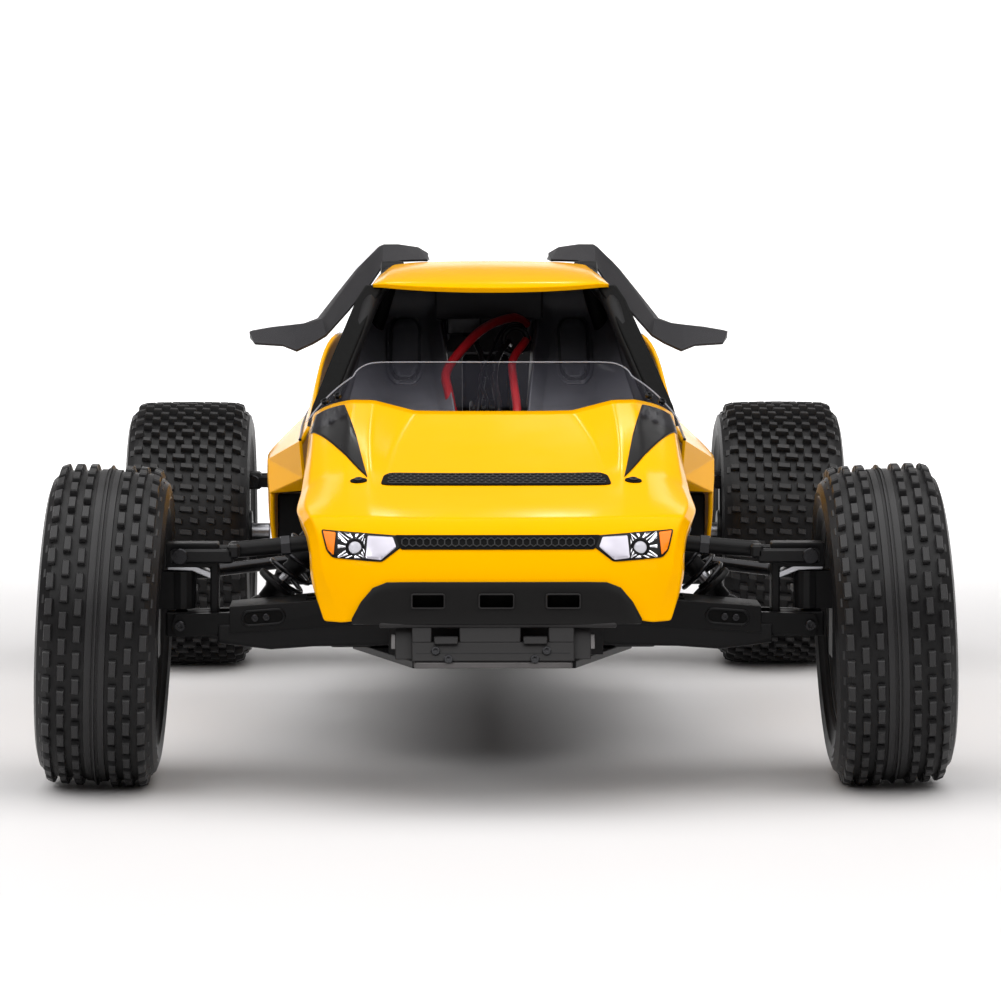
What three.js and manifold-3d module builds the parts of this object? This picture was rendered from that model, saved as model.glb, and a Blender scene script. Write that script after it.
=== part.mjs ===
// Electric two-wheel-drive off-road buggy, 1/5-scale class, as separate named pieces in millimetres.
// The front faces -Y, +X is the right-hand side seen from the front, +Z is up, the ground is z = 0.
import * as THREE from "three";
import { mergeVertices } from "three/addons/utils/BufferGeometryUtils.js";
import Module from "manifold-3d";

const wasm = await Module();
wasm.setup();

// ---- driving dimensions ----
const FRONT_AXLE_Y = -285;
const REAR_AXLE_Y = 285;
const AXLE_Z = 85;
const TYRE_RADIUS = 85;
const TYRE_SIDES = 24;
const FRONT_TRACK_HALF = 206;
const REAR_TRACK_HALF = 190;
const FRONT_TYRE_HALF = 30.5;
const REAR_TYRE_HALF = 38.5;
const CAMBER_DEG = 2.8;
const CHASSIS_BOTTOM = 57;
const CHASSIS_TOP = 61;
const RUN_GAP = 0.4; // between a pin and the bore that turns on it
const PIN_RADIUS = 3;
const BORE_RADIUS = PIN_RADIUS + RUN_GAP;
const KNUCKLE_ARM = 42; // steering radius, the same on knuckles, servo arm and idler
const STEER_LINK_SWEEP = 48; // how far the tie rod runs back from its outer to its inner end
const SHOCK_OFFSET = 34; // shock plane behind the axle
const WALL = 2.4; // body shell thickness

// Suspension corners. Arm, upper link and half shaft share one X-Z vector, so each is a true parallelogram.
const FRONT = {
  axleY: FRONT_AXLE_Y,
  armIn: [48, 96],
  armOut: [166, 86],
  linkIn: [48, 132.5],
  linkOut: [166, 122.5],
  shockTop: [66, 160],
  shockEye: [126, 91],
  bodyEnd: 52,
};
const REAR = {
  axleY: REAR_AXLE_Y,
  armIn: [52, 76],
  armOut: [150, 70],
  linkIn: [52, 125],
  linkOut: [150, 119],
  shockTop: [60, 212],
  shockEye: [120, 78],
  bodyEnd: 84,
};

// ---- solids ----
function solid(geometry) {
  const bare = geometry.index ? geometry.toNonIndexed() : geometry.clone();
  bare.deleteAttribute("normal");
  bare.deleteAttribute("uv");
  const merged = mergeVertices(bare, 1e-3);
  return closed(merged.attributes.position.array, merged.index.array);
}

// A closed surface as a solid, turned the right way out.
function closed(coordinates, triangles) {
  const vertProperties = new Float32Array(coordinates);
  const triVerts = new Uint32Array(triangles);
  const made = new wasm.Manifold(new wasm.Mesh({ numProp: 3, vertProperties, triVerts }));
  if (made.volume() > 0) return made;
  for (let i = 0; i < triVerts.length; i += 3) {
    [triVerts[i + 1], triVerts[i + 2]] = [triVerts[i + 2], triVerts[i + 1]];
  }
  return new wasm.Manifold(new wasm.Mesh({ numProp: 3, vertProperties, triVerts }));
}

function join(...solids) {
  return solids.reduce((sum, next) => sum.add(next));
}

function cut(from, ...tools) {
  return tools.reduce((rest, tool) => rest.subtract(tool), from);
}

function box(xa, xb, ya, yb, za, zb) {
  const shape = new THREE.BoxGeometry(Math.abs(xb - xa), Math.abs(yb - ya), Math.abs(zb - za));
  shape.translate((xa + xb) / 2, (ya + yb) / 2, (za + zb) / 2);
  return solid(shape);
}

// A round bar between two points.
function bar(from, to, radius, sides = 8) {
  const a = new THREE.Vector3(...from);
  const b = new THREE.Vector3(...to);
  const run = b.clone().sub(a);
  const shape = new THREE.CylinderGeometry(radius, radius, run.length(), sides);
  shape.applyQuaternion(new THREE.Quaternion().setFromUnitVectors(new THREE.Vector3(0, 1, 0), run.normalize()));
  shape.translate((a.x + b.x) / 2, (a.y + b.y) / 2, (a.z + b.z) / 2);
  return solid(shape);
}

// Bars through a list of points, with a ball at each bend.
function tube(points, radius, sides = 6) {
  const pieces = [];
  for (let i = 1; i < points.length; i++) pieces.push(bar(points[i - 1], points[i], radius, sides));
  for (const point of points.slice(1, -1)) {
    const ball = new THREE.SphereGeometry(radius * 1.02, sides, 4);
    ball.translate(...point);
    pieces.push(solid(ball));
  }
  return join(...pieces);
}

// An outline pushed along one axis: "x" takes [y, z] points, "y" takes [x, z], "z" takes [x, y].
function prism(axis, outline, low, high) {
  const shape = new THREE.Shape(outline.map(([u, v]) => new THREE.Vector2(u, v)));
  const made = new THREE.ExtrudeGeometry(shape, { depth: high - low, bevelEnabled: false });
  const place = new THREE.Matrix4();
  if (axis === "x") {
    place.makeBasis(new THREE.Vector3(0, 1, 0), new THREE.Vector3(0, 0, 1), new THREE.Vector3(1, 0, 0));
    place.setPosition(low, 0, 0);
  }
  if (axis === "y") {
    place.makeBasis(new THREE.Vector3(1, 0, 0), new THREE.Vector3(0, 0, 1), new THREE.Vector3(0, -1, 0));
    place.setPosition(0, high, 0);
  }
  if (axis === "z") place.setPosition(0, 0, low);
  made.applyMatrix4(place);
  return solid(made);
}

// A closed [radius, distance] profile turned about a level or nearly level axis, with a flat facet underneath.
function turned(profile, origin, direction, sides) {
  const loop = [...profile, profile[0]].map(([r, h]) => new THREE.Vector2(r, h));
  const shape = new THREE.LatheGeometry(loop, sides);
  shape.rotateY(Math.PI / sides);
  const axis = new THREE.Vector3(...direction).normalize();
  const up = new THREE.Vector3(0, 0, 1).addScaledVector(axis, -axis.z).normalize();
  shape.applyMatrix4(new THREE.Matrix4().makeBasis(axis.clone().cross(up), axis, up));
  shape.translate(...origin);
  return solid(shape);
}

// A grid of points thickened inwards into a closed sheet.
function sheet(rows, thickness, flip = 1) {
  const height = rows.length;
  const width = rows[0].length;
  const at = (i, j) => new THREE.Vector3(...rows[i][j]);
  const points = [];
  const inner = [];
  for (let i = 0; i < height; i++) {
    for (let j = 0; j < width; j++) {
      const along = at(Math.min(i + 1, height - 1), j).sub(at(Math.max(i - 1, 0), j));
      const across = at(i, Math.min(j + 1, width - 1)).sub(at(i, Math.max(j - 1, 0)));
      const normal = along.cross(across).normalize();
      points.push(at(i, j));
      inner.push(at(i, j).addScaledVector(normal, -thickness * flip));
    }
  }
  const count = points.length;
  const id = (i, j) => i * width + j;
  const triangles = [];
  const quad = (a, b, c, d) => triangles.push(a, b, c, a, c, d);
  for (let i = 0; i < height - 1; i++) {
    for (let j = 0; j < width - 1; j++) {
      quad(id(i, j), id(i, j + 1), id(i + 1, j + 1), id(i + 1, j));
      quad(count + id(i + 1, j), count + id(i + 1, j + 1), count + id(i, j + 1), count + id(i, j));
    }
  }
  const edge = [];
  for (let j = 0; j < width - 1; j++) edge.push([0, j]);
  for (let i = 0; i < height - 1; i++) edge.push([i, width - 1]);
  for (let j = width - 1; j > 0; j--) edge.push([height - 1, j]);
  for (let i = height - 1; i > 0; i--) edge.push([i, 0]);
  edge.forEach(([i, j], k) => {
    const [ni, nj] = edge[(k + 1) % edge.length];
    quad(id(ni, nj), id(i, j), count + id(i, j), count + id(ni, nj));
  });
  return closed([...points, ...inner].flatMap((p) => [p.x, p.y, p.z]), triangles);
}

// Rows given from the centre line out to the right, completed to the left.
function mirroredSheet(halfRows, thickness, flip = 1) {
  const rows = halfRows.map((half) => {
    const left = half.filter(([x]) => x > 0).map(([x, y, z]) => [-x, y, z]);
    return [...left.reverse(), ...half];
  });
  return sheet(rows, thickness, flip);
}

const buggy = new THREE.Group();
const COLOURS = {
  yellow: 0xffc400,
  black: 0x1b1b1d,
  grey: 0x3a3b3d,
  alloy: 0xb9bcc0,
  tyre: 0x232323,
  clear: 0xcfdbe2,
  steel: 0x8c8f93,
  blue: 0x20406a,
};

function add(name, made, colour) {
  const data = made.getMesh();
  const shape = new THREE.BufferGeometry();
  shape.setAttribute("position", new THREE.BufferAttribute(new Float32Array(data.vertProperties), 3));
  shape.setIndex(new THREE.BufferAttribute(new Uint32Array(data.triVerts), 1));
  shape.computeVertexNormals();
  const material = new THREE.MeshStandardMaterial({ color: COLOURS[colour], flatShading: true });
  const mesh = new THREE.Mesh(shape, material);
  mesh.name = name;
  buggy.add(mesh);
}

// ---- chassis and its fixed parts ----
function chassisPlate() {
  const outline = [
    [-44, -246], [44, -246], [78, -150], [80, 90], [66, 200], [52, 340], [-52, 340], [-66, 200], [-80, 90], [-78, -150],
  ];
  const plate = prism("z", outline, CHASSIS_BOTTOM, CHASSIS_TOP);
  const idlerPost = bar([26, -237, CHASSIS_TOP - 1], [26, -237, 104], 4);
  return join(plate, idlerPost);
}

// Front bumper: slotted plate, alloy-edged skid that slopes back under the bulkhead.
function frontBumper() {
  const skid = prism("x", [[-408, 78], [-250, 58], [-250, 61], [-326, 72], [-396, 84], [-408, 84]], -42, 42);
  const face = prism("x", [[-410, 80], [-396, 80], [-384, 102], [-398, 104]], -42, 42);
  const slots = [-27, 26].map((x) => box(x - 7.5, x + 7.5, -412, -380, 90, 98));
  return cut(join(skid, face), ...slots);
}

// A bulkhead block with two end plates that carry the inner pivot pins, and a shock tower.
function axleBlock(end, width, base, top, tower) {
  const y = end.axleY;
  const core = box(-width, width, y - 37, y + 37, base, top);
  const plateEdge = end.armIn[0] + 8;
  const plates = [-37, 31.5].map((dy) => box(-plateEdge, plateEdge, y + dy, y + dy + 5.5, base, end.linkIn[1] + 8));
  const pins = [-1, 1].flatMap((side) =>
    [end.armIn, end.linkIn].map(([x, z]) => bar([side * x, y - 33, z], [side * x, y + 33, z], PIN_RADIUS)),
  );
  const towerPlate = prism("y", tower, y + 14, y + 19);
  const studs = [-1, 1].map((side) => {
    const [x, z] = end.shockTop;
    return bar([side * x, y + 17, z], [side * x, y + SHOCK_OFFSET + 6, z], PIN_RADIUS);
  });
  return join(core, ...plates, ...pins, towerPlate, ...studs);
}

function frontBulkhead() {
  const tower = [[-33, 134], [33, 134], [40, 146], [76, 152], [76, 168], [50, 164], [-50, 164], [-76, 168], [-76, 152],
    [-40, 146]];
  const made = axleBlock(FRONT, 34, 66, 138, tower);
  const slopedBase = prism("x", [[-325, 60], [-245, 60], [-245, 63], [-325, 73.5]], -60, 60);
  return cut(made, slopedBase);
}

const SPUR_AT = [215, 112];
const PINION_AT = [177, 100];

function rearGearbox() {
  const tower = [[-38, 128], [38, 128], [34, 180], [70, 202], [70, 222], [-70, 222], [-70, 202], [-34, 180]];
  const made = axleBlock(REAR, 40, CHASSIS_TOP + 0.3, 133, tower);
  const mountPlate = box(35, 40, 150, 250, CHASSIS_TOP + 0.3, 140);
  const shaftHole = bar([30, ...PINION_AT], [45, ...PINION_AT], 8);
  const spurStub = bar([38, ...SPUR_AT], [51, ...SPUR_AT], 4);
  const outputs = [-1, 1].map((side) => bar([side * 38, REAR_AXLE_Y, 91], [side * 47, REAR_AXLE_Y, 91], 9, 12));
  const bumperBars = [-1, 1].map((side) =>
    tube([[side * 30, 318, 100], [side * 34, 385, 96], [side * 38, 403, 96]], 4.5),
  );
  const bumperRail = box(-66, 66, 399, 410, 84, 108);
  return join(cut(made.add(mountPlate), shaftHole), spurStub, ...outputs, ...bumperBars, bumperRail);
}

function steeringServo() {
  const body = box(-46, -8, -246, -196, CHASSIS_TOP + 0.3, 92);
  return join(body, bar([-26, -237, 90], [-26, -237, 104], 4));
}

function motor() {
  const can = bar([-45, ...PINION_AT], [34.5, ...PINION_AT], 22, 20);
  const shaft = bar([33, ...PINION_AT], [49, ...PINION_AT], 2.5);
  return join(can, shaft, box(-40, 30, 162, 192, CHASSIS_TOP + 0.3, 86));
}

// A toothed wheel whose tips stand tooth deep outside its root circle, on an axis along X.
function gear(at, xa, xb, tip, teeth, bore) {
  const outline = [];
  for (let i = 0; i < teeth; i++) {
    for (const [part, r] of [[0, tip - 2], [0.3, tip - 2], [0.45, tip], [0.85, tip]]) {
      const angle = ((i + part) / teeth) * 2 * Math.PI;
      outline.push([at[0] + r * Math.cos(angle), at[1] + r * Math.sin(angle)]);
    }
  }
  return cut(prism("x", outline, xa, xb), bar([xa - 1, ...at], [xb + 1, ...at], bore));
}

// ---- shell, cage and cockpit ----
function nosePanel() {
  const y = (dy) => FRONT_AXLE_Y + dy;
  const rows = [
    [[0, y(-116), 118], [35, y(-116), 118], [62, y(-116), 117], [71, y(-114), 100], [82, y(-112), 99], [90, y(-105), 110]],
    [[0, y(-115), 128], [35, y(-115), 128], [62, y(-114), 128], [78, y(-110), 127], [92, y(-103), 126], [95, y(-90), 122]],
    [[0, y(-108), 145], [35, y(-108), 145], [62, y(-107), 145], [80, y(-104), 145], [94, y(-98), 142], [95, y(-80), 130]],
    [[0, y(-62), 158], [35, y(-62), 158], [64, y(-62), 158], [82, y(-62), 157], [99, y(-61), 154], [104, y(-55), 149]],
    [[0, y(-20), 167], [35, y(-20), 167], [62, y(-20), 168], [79, y(-20), 166], [95, y(-20), 160], [102, y(-20), 148]],
    [[0, y(35), 179], [35, y(35), 179], [66, y(35), 184], [84, y(35), 182], [97, y(35), 176], [101, y(35), 152]],
    [[0, y(88), 193], [35, y(88), 193], [72, y(88), 197], [88, y(88), 194], [98, y(88), 188], [101, y(88), 158]],
  ];
  return mirroredSheet(rows, WALL);
}

function windscreen() {
  const y = (dy) => FRONT_AXLE_Y + dy;
  const rows = [
    [[0, y(94), 196], [40, y(94), 196], [72, y(94), 199], [97, y(94), 191]],
    [[0, y(108), 207], [40, y(108), 207], [70, y(108), 208], [87, y(108), 201]],
    [[0, y(122), 218], [40, y(122), 218], [66, y(122), 217], [76, y(122), 212]],
  ];
  return mirroredSheet(rows, 1.6);
}

// Shaped interior bed with two seat-like panels and a gap down the middle.
function cockpitTub() {
  const y = (dy) => FRONT_AXLE_Y + dy;
  const rows = [
    [[0, y(96), 176], [16, y(96), 176], [30, y(96), 177], [68, y(96), 177], [80, y(96), 180]],
    [[0, y(150), 184], [16, y(150), 184], [30, y(150), 178], [64, y(150), 178], [74, y(150), 190]],
    [[0, y(240), 208], [16, y(240), 208], [30, y(240), 200], [56, y(240), 200], [66, y(240), 212]],
    [[0, y(320), 240], [16, y(320), 240], [30, y(320), 236], [46, y(320), 236], [54, y(320), 242]],
    [[0, y(336), 214], [16, y(336), 214], [30, y(336), 214], [46, y(336), 214], [54, y(336), 214]],
  ];
  const bed = mirroredSheet(rows, WALL);
  return cut(bed, box(-11, 11, y(118), y(306), 150, 260));
}

const CAGE_RADIUS = 5;

function rollCage() {
  const y = (dy) => FRONT_AXLE_Y + dy;
  const sides = [-1, 1].flatMap((s) => [
    tube([[s * 86, y(112), 64], [s * 88, y(112), 190], [s * 66, y(205), 248], [s * 56, y(300), 262],
      [s * 46, y(430), 226], [s * 50, y(512), 146]], CAGE_RADIUS),
    tube([[s * 88, y(112), 168], [s * 92, y(330), 150], [s * 50, y(505), 156]], CAGE_RADIUS),
    tube([[s * 90, y(330), 64], [s * 92, y(330), 150], [s * 56, y(300), 262]], CAGE_RADIUS),
  ]);
  const cross = [
    bar([-88, y(112), 150], [88, y(112), 150], CAGE_RADIUS, 6),
    bar([-56, y(300), 262], [56, y(300), 262], CAGE_RADIUS, 6),
    bar([-46, y(430), 226], [46, y(430), 226], CAGE_RADIUS, 6),
    box(-90, 90, y(104), y(120), CHASSIS_TOP + 0.3, 67),
    box(-94, 94, y(322), y(338), CHASSIS_TOP + 0.3, 67),
  ];
  return join(...sides, ...cross);
}

function roofPanel() {
  const y = (dy) => FRONT_AXLE_Y + dy;
  const rows = [
    [[0, y(198), 258], [40, y(198), 258], [62, y(198), 256]],
    [[0, y(245), 268], [40, y(245), 267], [58, y(245), 264]],
    [[0, y(292), 274], [36, y(292), 273], [52, y(292), 270]],
  ];
  return mirroredSheet(rows, WALL);
}

// Swept winglet from the roof's rear corner out over the rear wheel.
function roofFin(side) {
  const y = (dy) => FRONT_AXLE_Y + dy;
  const lower = [[36, 270], [64, 268.5], [70, 256], [83, 240], [97, 225], [113, 217], [141, 221]];
  const upper = [[36, 277], [62, 278], [79, 261], [91, 247], [101, 233], [117, 231], [143, 227]];
  const rows = [
    lower.map(([x, z]) => [side * x, y(300), z]),
    upper.map(([x, z], i) => [side * x, y(372 - Math.max(0, i - 4) * 9), z]),
  ];
  return sheet(rows, WALL, side);
}

function sidePod(side) {
  const y = (dy) => FRONT_AXLE_Y + dy;
  const rows = [
    [[104, 184], [108, 173], [126, 160], [126, 132], [125, 104], [108, 96]].map(([x, z]) => [side * x, y(128), z]),
    [[102, 198], [107, 178], [128, 160], [128, 132], [127, 106], [108, 96]].map(([x, z]) => [side * x, y(190), z]),
    [[94, 216], [106, 180], [128, 160], [128, 132], [127, 106], [108, 96]].map(([x, z]) => [side * x, y(260), z]),
    [[86, 228], [104, 182], [126, 160], [126, 132], [124, 108], [106, 98]].map(([x, z]) => [side * x, y(330), z]),
    [[76, 200], [92, 176], [110, 158], [112, 134], [110, 112], [98, 102]].map(([x, z]) => [side * x, y(430), z]),
  ];
  return sheet(rows, WALL, side);
}

// ---- suspension, steering and wheels ----
function armSlab(end, side, low, high, xa, xb, spread) {
  const [x0, z0] = end.armIn;
  const [x1, z1] = end.armOut;
  const slope = (z1 - z0) / (x1 - x0);
  const z = (x) => z0 + slope * (x - x0);
  const profile = [[xa, z(xa) - low], [xb, z(xb) - low], [xb, z(xb) + high], [xa, z(xa) + high]];
  const y = end.axleY;
  const plan = [[xa, y - spread[0]], [xb, y - spread[1]], [xb, y + spread[1]], [xa, y + spread[0]]];
  const mirror = (list) => list.map(([u, v]) => [side * u, v]);
  return prism("y", mirror(profile), y - 60, y + 60).intersect(prism("z", mirror(plan), 40, 140));
}

function lowerArm(end, side) {
  const y = end.axleY;
  const [xi, zi] = end.armIn;
  const [xo, zo] = end.armOut;
  const [xe, ze] = end.shockEye;
  const slab = armSlab(end, side, 6, 8, xi, xo - 26, [28, 17]);
  const windows = [-1, 1].map((half) =>
    prism("z", [[side * (xi + 18), y + half * 4], [side * (xi + 18), y + half * 19], [side * (xi + 52), y + half * 14],
      [side * (xi + 52), y + half * 4]], 40, 140),
  );
  const barrel = bar([side * xi, y - 30, zi], [side * xi, y + 30, zi], 7.5, 12);
  const lugs = [-15, 9.5].map((dy) =>
    prism("y", [[side * (xo - 30), zo - 3], [side * (xo + 2.5), zo - 6], [side * (xo + 4.6), zo], [side * (xo + 2.5), zo + 6],
      [side * (xo - 30), zo + 7]], y + dy, y + dy + 5.5),
  );
  const pin = bar([side * xo, y - 14, zo], [side * xo, y + 14, zo], PIN_RADIUS);
  const stud = bar([side * xe, y + 12, ze], [side * xe, y + SHOCK_OFFSET + 6, ze], 2);
  const studHead = bar([side * xe, y + SHOCK_OFFSET + 5, ze], [side * xe, y + SHOCK_OFFSET + 8, ze], 4.2, 6);
  const bore = bar([side * xi, y - 31, zi], [side * xi, y + 31, zi], BORE_RADIUS);
  return cut(join(slab, barrel, ...lugs, pin, stud, studHead), ...windows, bore);
}

function upperLink(end, side) {
  const y = end.axleY;
  const [xi, zi] = end.linkIn;
  const [xo, zo] = end.linkOut;
  const slope = (zo - zi) / (xo - xi);
  const z = (x) => zi + slope * (x - xi);
  const rod = bar([side * (xi + 4), y, z(xi + 4)], [side * (xo - 26), y, z(xo - 26)], 5.5, 12);
  const barrel = bar([side * xi, y - 6, zi], [side * xi, y + 6, zi], 6.5, 12);
  const yoke = box(side * (xo - 32), side * (xo - 25), y - 14, y + 14, z(xo - 28) - 5, z(xo - 28) + 5);
  const lugs = [-14, 9.5].map((dy) =>
    box(side * (xo - 28), side * (xo + 5), y + dy, y + dy + 4.5, zo - 5, zo + 5),
  );
  const pin = bar([side * xo, y - 12, zo], [side * xo, y + 12, zo], PIN_RADIUS);
  return cut(join(rod, barrel, yoke, ...lugs, pin), bar([side * xi, y - 7, zi], [side * xi, y + 7, zi], BORE_RADIUS));
}

// C-shaped carrier between the arm and the upper link; the front one holds the kingpin.
function hubCarrier(end, side) {
  const y = end.axleY;
  const [x, low] = end.armOut;
  const high = end.linkOut[1];
  const reach = end === FRONT ? [-20, 8] : [-9, 8];
  const feet = [low, high].map((z) => box(side * (x + reach[0]), side * (x + reach[1]), y - 7.5, y + 7.5, z - 6.5, z + 6.5));
  const web = box(side * (x - 20), side * (x - 15.5), y - 7.5, y + 7.5, low - 6.5, high + 6.5);
  const bores = [low, high].map((z) => bar([side * x, y - 9, z], [side * x, y + 9, z], BORE_RADIUS));
  if (end === FRONT) {
    const kingpin = bar([side * x, y, low + 5], [side * x, y, high - 5], PIN_RADIUS);
    return cut(join(...feet, web, kingpin), ...bores);
  }
  const housing = bar([side * (x - 14), y, AXLE_Z], [side * (x + 8), y, AXLE_Z], 15, 16);
  const post = box(side * (x - 9), side * (x + 8), y - 7.5, y + 7.5, AXLE_Z, high);
  const axleBore = bar([side * (x - 22), y, AXLE_Z], [side * (x + 9), y, AXLE_Z], 6.6, 12);
  const footBores = [low, high].map((z) => bar([side * x, y - 16, z], [side * x, y + 16, z], BORE_RADIUS));
  const footTrim = [-1, 1].map((half) =>
    box(side * (x - 24), side * (x + 12), y + half * 8, y + half * 17, low - 8, low + 9.6),
  );
  return cut(join(...feet, housing, post), axleBore, ...footBores, ...footTrim);
}

const KNUCKLE_Z = [94, 114];

function knuckle(side) {
  const y = FRONT_AXLE_Y;
  const x = FRONT.armOut[0];
  const [low, high] = KNUCKLE_Z;
  const core = bar([side * x, y, low], [side * x, y, high], 8, 16);
  const bridge = box(side * x, side * (x + 14), y - 7, y + 7, low, high);
  const plate = box(side * (x + 12), side * (x + 18), y - 11, y + 11, 68, high);
  const tilt = Math.tan(THREE.MathUtils.degToRad(CAMBER_DEG));
  const axle = bar([side * (x + 15), y, AXLE_Z - tilt * (FRONT_TRACK_HALF - x - 15)],
    [side * (FRONT_TRACK_HALF + 14), y, AXLE_Z + tilt * 14], 5, 12);
  const steeringArm = prism("z", [[side * (x - 6), y + 4], [side * (x + 10), y + 4], [side * (x + 6), y + KNUCKLE_ARM + 5],
    [side * (x - 6), y + KNUCKLE_ARM + 5]], 99, 102);
  const ball = bar([side * x, y + KNUCKLE_ARM, 100], [side * x, y + KNUCKLE_ARM, 111.6], 2);
  const bore = bar([side * x, y, low - 1], [side * x, y, high + 1], BORE_RADIUS, 12);
  return cut(join(core, bridge, plate, axle, steeringArm, ball), bore);
}

const CRANK_X = 26;
const CRANK_Y = FRONT_AXLE_Y + STEER_LINK_SWEEP;
const DRAG_Y = CRANK_Y + KNUCKLE_ARM;
const TIE_IN_X = FRONT.linkIn[0];

function tieRod(side) {
  const xo = FRONT.armOut[0];
  const yo = FRONT_AXLE_Y + KNUCKLE_ARM;
  const outer = [side * xo, yo, 108];
  const inner = [side * TIE_IN_X, DRAG_Y, 118];
  const rod = bar(outer, inner, 3.6);
  const eyes = [outer, inner].map(([x, y, z]) => bar([x, y, z - 3], [x, y, z + 3], 6, 12));
  const holes = [outer, inner].map(([x, y, z]) => bar([x, y, z - 7], [x, y, z + 7], 3.3));
  return cut(join(rod, ...eyes), ...holes);
}

function dragLink() {
  const link = box(-54, 54, DRAG_Y - 5, DRAG_Y + 5, 106, 110);
  const pins = [-1, 1].map((side) => bar([side * TIE_IN_X, DRAG_Y, 108], [side * TIE_IN_X, DRAG_Y, 121.6], 2));
  const holes = [-1, 1].map((side) => bar([side * CRANK_X, DRAG_Y, 104], [side * CRANK_X, DRAG_Y, 112], 2.4));
  return cut(join(link, ...pins), ...holes);
}

function steeringCrank(side) {
  const x = side * CRANK_X;
  const hub = bar([x, CRANK_Y, 94], [x, CRANK_Y, 103.5], 7.5, 14);
  const arm = box(x - 4, x + 4, CRANK_Y, DRAG_Y + 5, 99, 103.5);
  const pin = bar([x, DRAG_Y, 102], [x, DRAG_Y, 111], 2);
  return cut(join(hub, arm, pin), bar([x, CRANK_Y, 93], [x, CRANK_Y, 105], 4.4, 12));
}

function wheelAxis(end, side) {
  const camber = end === FRONT ? THREE.MathUtils.degToRad(CAMBER_DEG) : 0;
  return [side * Math.cos(camber), 0, Math.sin(camber)];
}

function wheelCentre(end, side) {
  return [side * (end === FRONT ? FRONT_TRACK_HALF : REAR_TRACK_HALF), end.axleY, AXLE_Z];
}

function tyre(end, side) {
  const w = end === FRONT ? FRONT_TYRE_HALF : REAR_TYRE_HALF;
  const r = TYRE_RADIUS / Math.cos(Math.PI / TYRE_SIDES);
  const crown = end === FRONT ? [[r - 1.2, -w + 8], [r, 0], [r - 1.2, w - 8]] : [[r, -w + 10], [r, w - 10]];
  const profile = [[55, -w + 6], [70, -w], [r - 7, -w + 1], ...crown, [r - 7, w - 1],
    [70, w], [55, w - 6]];
  return turned(profile, wheelCentre(end, side), wheelAxis(end, side), TYRE_SIDES);
}

function rim(end, side) {
  const w = (end === FRONT ? FRONT_TYRE_HALF : REAR_TYRE_HALF) - 6;
  const dish = w - 10;
  const hubIn = end === FRONT ? -6 : dish - 12;
  const boreRadius = end === FRONT ? 5.5 : 3;
  const profile = [[boreRadius, hubIn], [11, hubIn], [12, dish - 5], [51, dish - 2], [51, -w], [54.6, -w], [54.6, w],
    [50, w], [46, dish + 2], [12, dish + 1], [boreRadius, dish + 1]];
  const centre = wheelCentre(end, side);
  const axis = wheelAxis(end, side);
  let made = turned(profile, centre, axis, 16);
  const out = new THREE.Vector3(...axis);
  const turn = new THREE.Quaternion().setFromUnitVectors(new THREE.Vector3(1, 0, 0), out);
  for (let i = 0; i < 5; i++) {
    const angle = (i / 5) * 2 * Math.PI;
    const radial = new THREE.Vector3(0, Math.cos(angle), Math.sin(angle)).applyQuaternion(turn).multiplyScalar(32);
    const point = (along) => new THREE.Vector3(...centre).add(radial).addScaledVector(out, along).toArray();
    made = made.subtract(bar(point(dish - 10), point(dish + 8), 11, 6));
  }
  if (end === REAR) {
    const stub = bar([side * (REAR.armOut[0] - 10), REAR_AXLE_Y, AXLE_Z], [side * (REAR_TRACK_HALF + dish), REAR_AXLE_Y, AXLE_Z],
      6.1, 12);
    made = made.add(stub);
  }
  return made;
}

function halfShaft(side) {
  const inner = [side * (REAR.armIn[0] - 1.5), REAR_AXLE_Y, 91];
  const outer = [side * (REAR.armOut[0] - 20), REAR_AXLE_Y, 86.1];
  const shaft = bar(inner, outer, 4);
  const boots = [
    turned([[0.1, 0], [6.8, 0], [6.8, 8], [4.5, 16], [0.1, 16]], inner, [side * 98, 0, -6], 12),
    turned([[0.1, 0], [6.2, 0], [6.2, 6], [4.5, 12], [0.1, 12]], outer, [side * -98, 0, 6], 12),
  ];
  return join(shaft, ...boots);
}

function shockFrame(end, side) {
  const y = end.axleY + SHOCK_OFFSET;
  const top = new THREE.Vector3(side * end.shockTop[0], y, end.shockTop[1]);
  const eye = new THREE.Vector3(side * end.shockEye[0], y, end.shockEye[1]);
  const length = top.distanceTo(eye);
  const way = eye.clone().sub(top).normalize();
  const at = (distance) => top.clone().addScaledVector(way, distance).toArray();
  return { y, length, at, way };
}

function shockBody(end, side) {
  const { y, at } = shockFrame(end, side);
  const [x, , z] = at(0);
  const cap = bar([x, y - 4.5, z], [x, y + 4.5, z], 6.8, 12);
  const neck = bar(at(3), at(14), 6.5);
  const collar = bar(at(12), at(15), 13.4, 16);
  const can = bar(at(13), at(end.bodyEnd), 9.4, 14);
  const eyeBore = bar([x, y - 6, z], [x, y + 6, z], BORE_RADIUS);
  return cut(join(cap, neck, collar, can), eyeBore, bar(at(17), at(end.bodyEnd + 1), 3.6));
}

function shockRod(end, side) {
  const { y, length, at } = shockFrame(end, side);
  const [x, , z] = at(length);
  const rod = bar(at(end.bodyEnd - 13), at(length - 5), 3);
  const cup = bar(at(length - 17), at(length - 14), 12.8, 16);
  const foot = bar([x, y - 4, z], [x, y + 4, z], 6.4, 12);
  return cut(join(rod, cup, foot), bar([x, y - 6, z], [x, y + 6, z], 3.2));
}

const SPRING = { turns: 6, perTurn: 8, sides: 4, radius: 11.6, wire: 1.2 };

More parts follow.
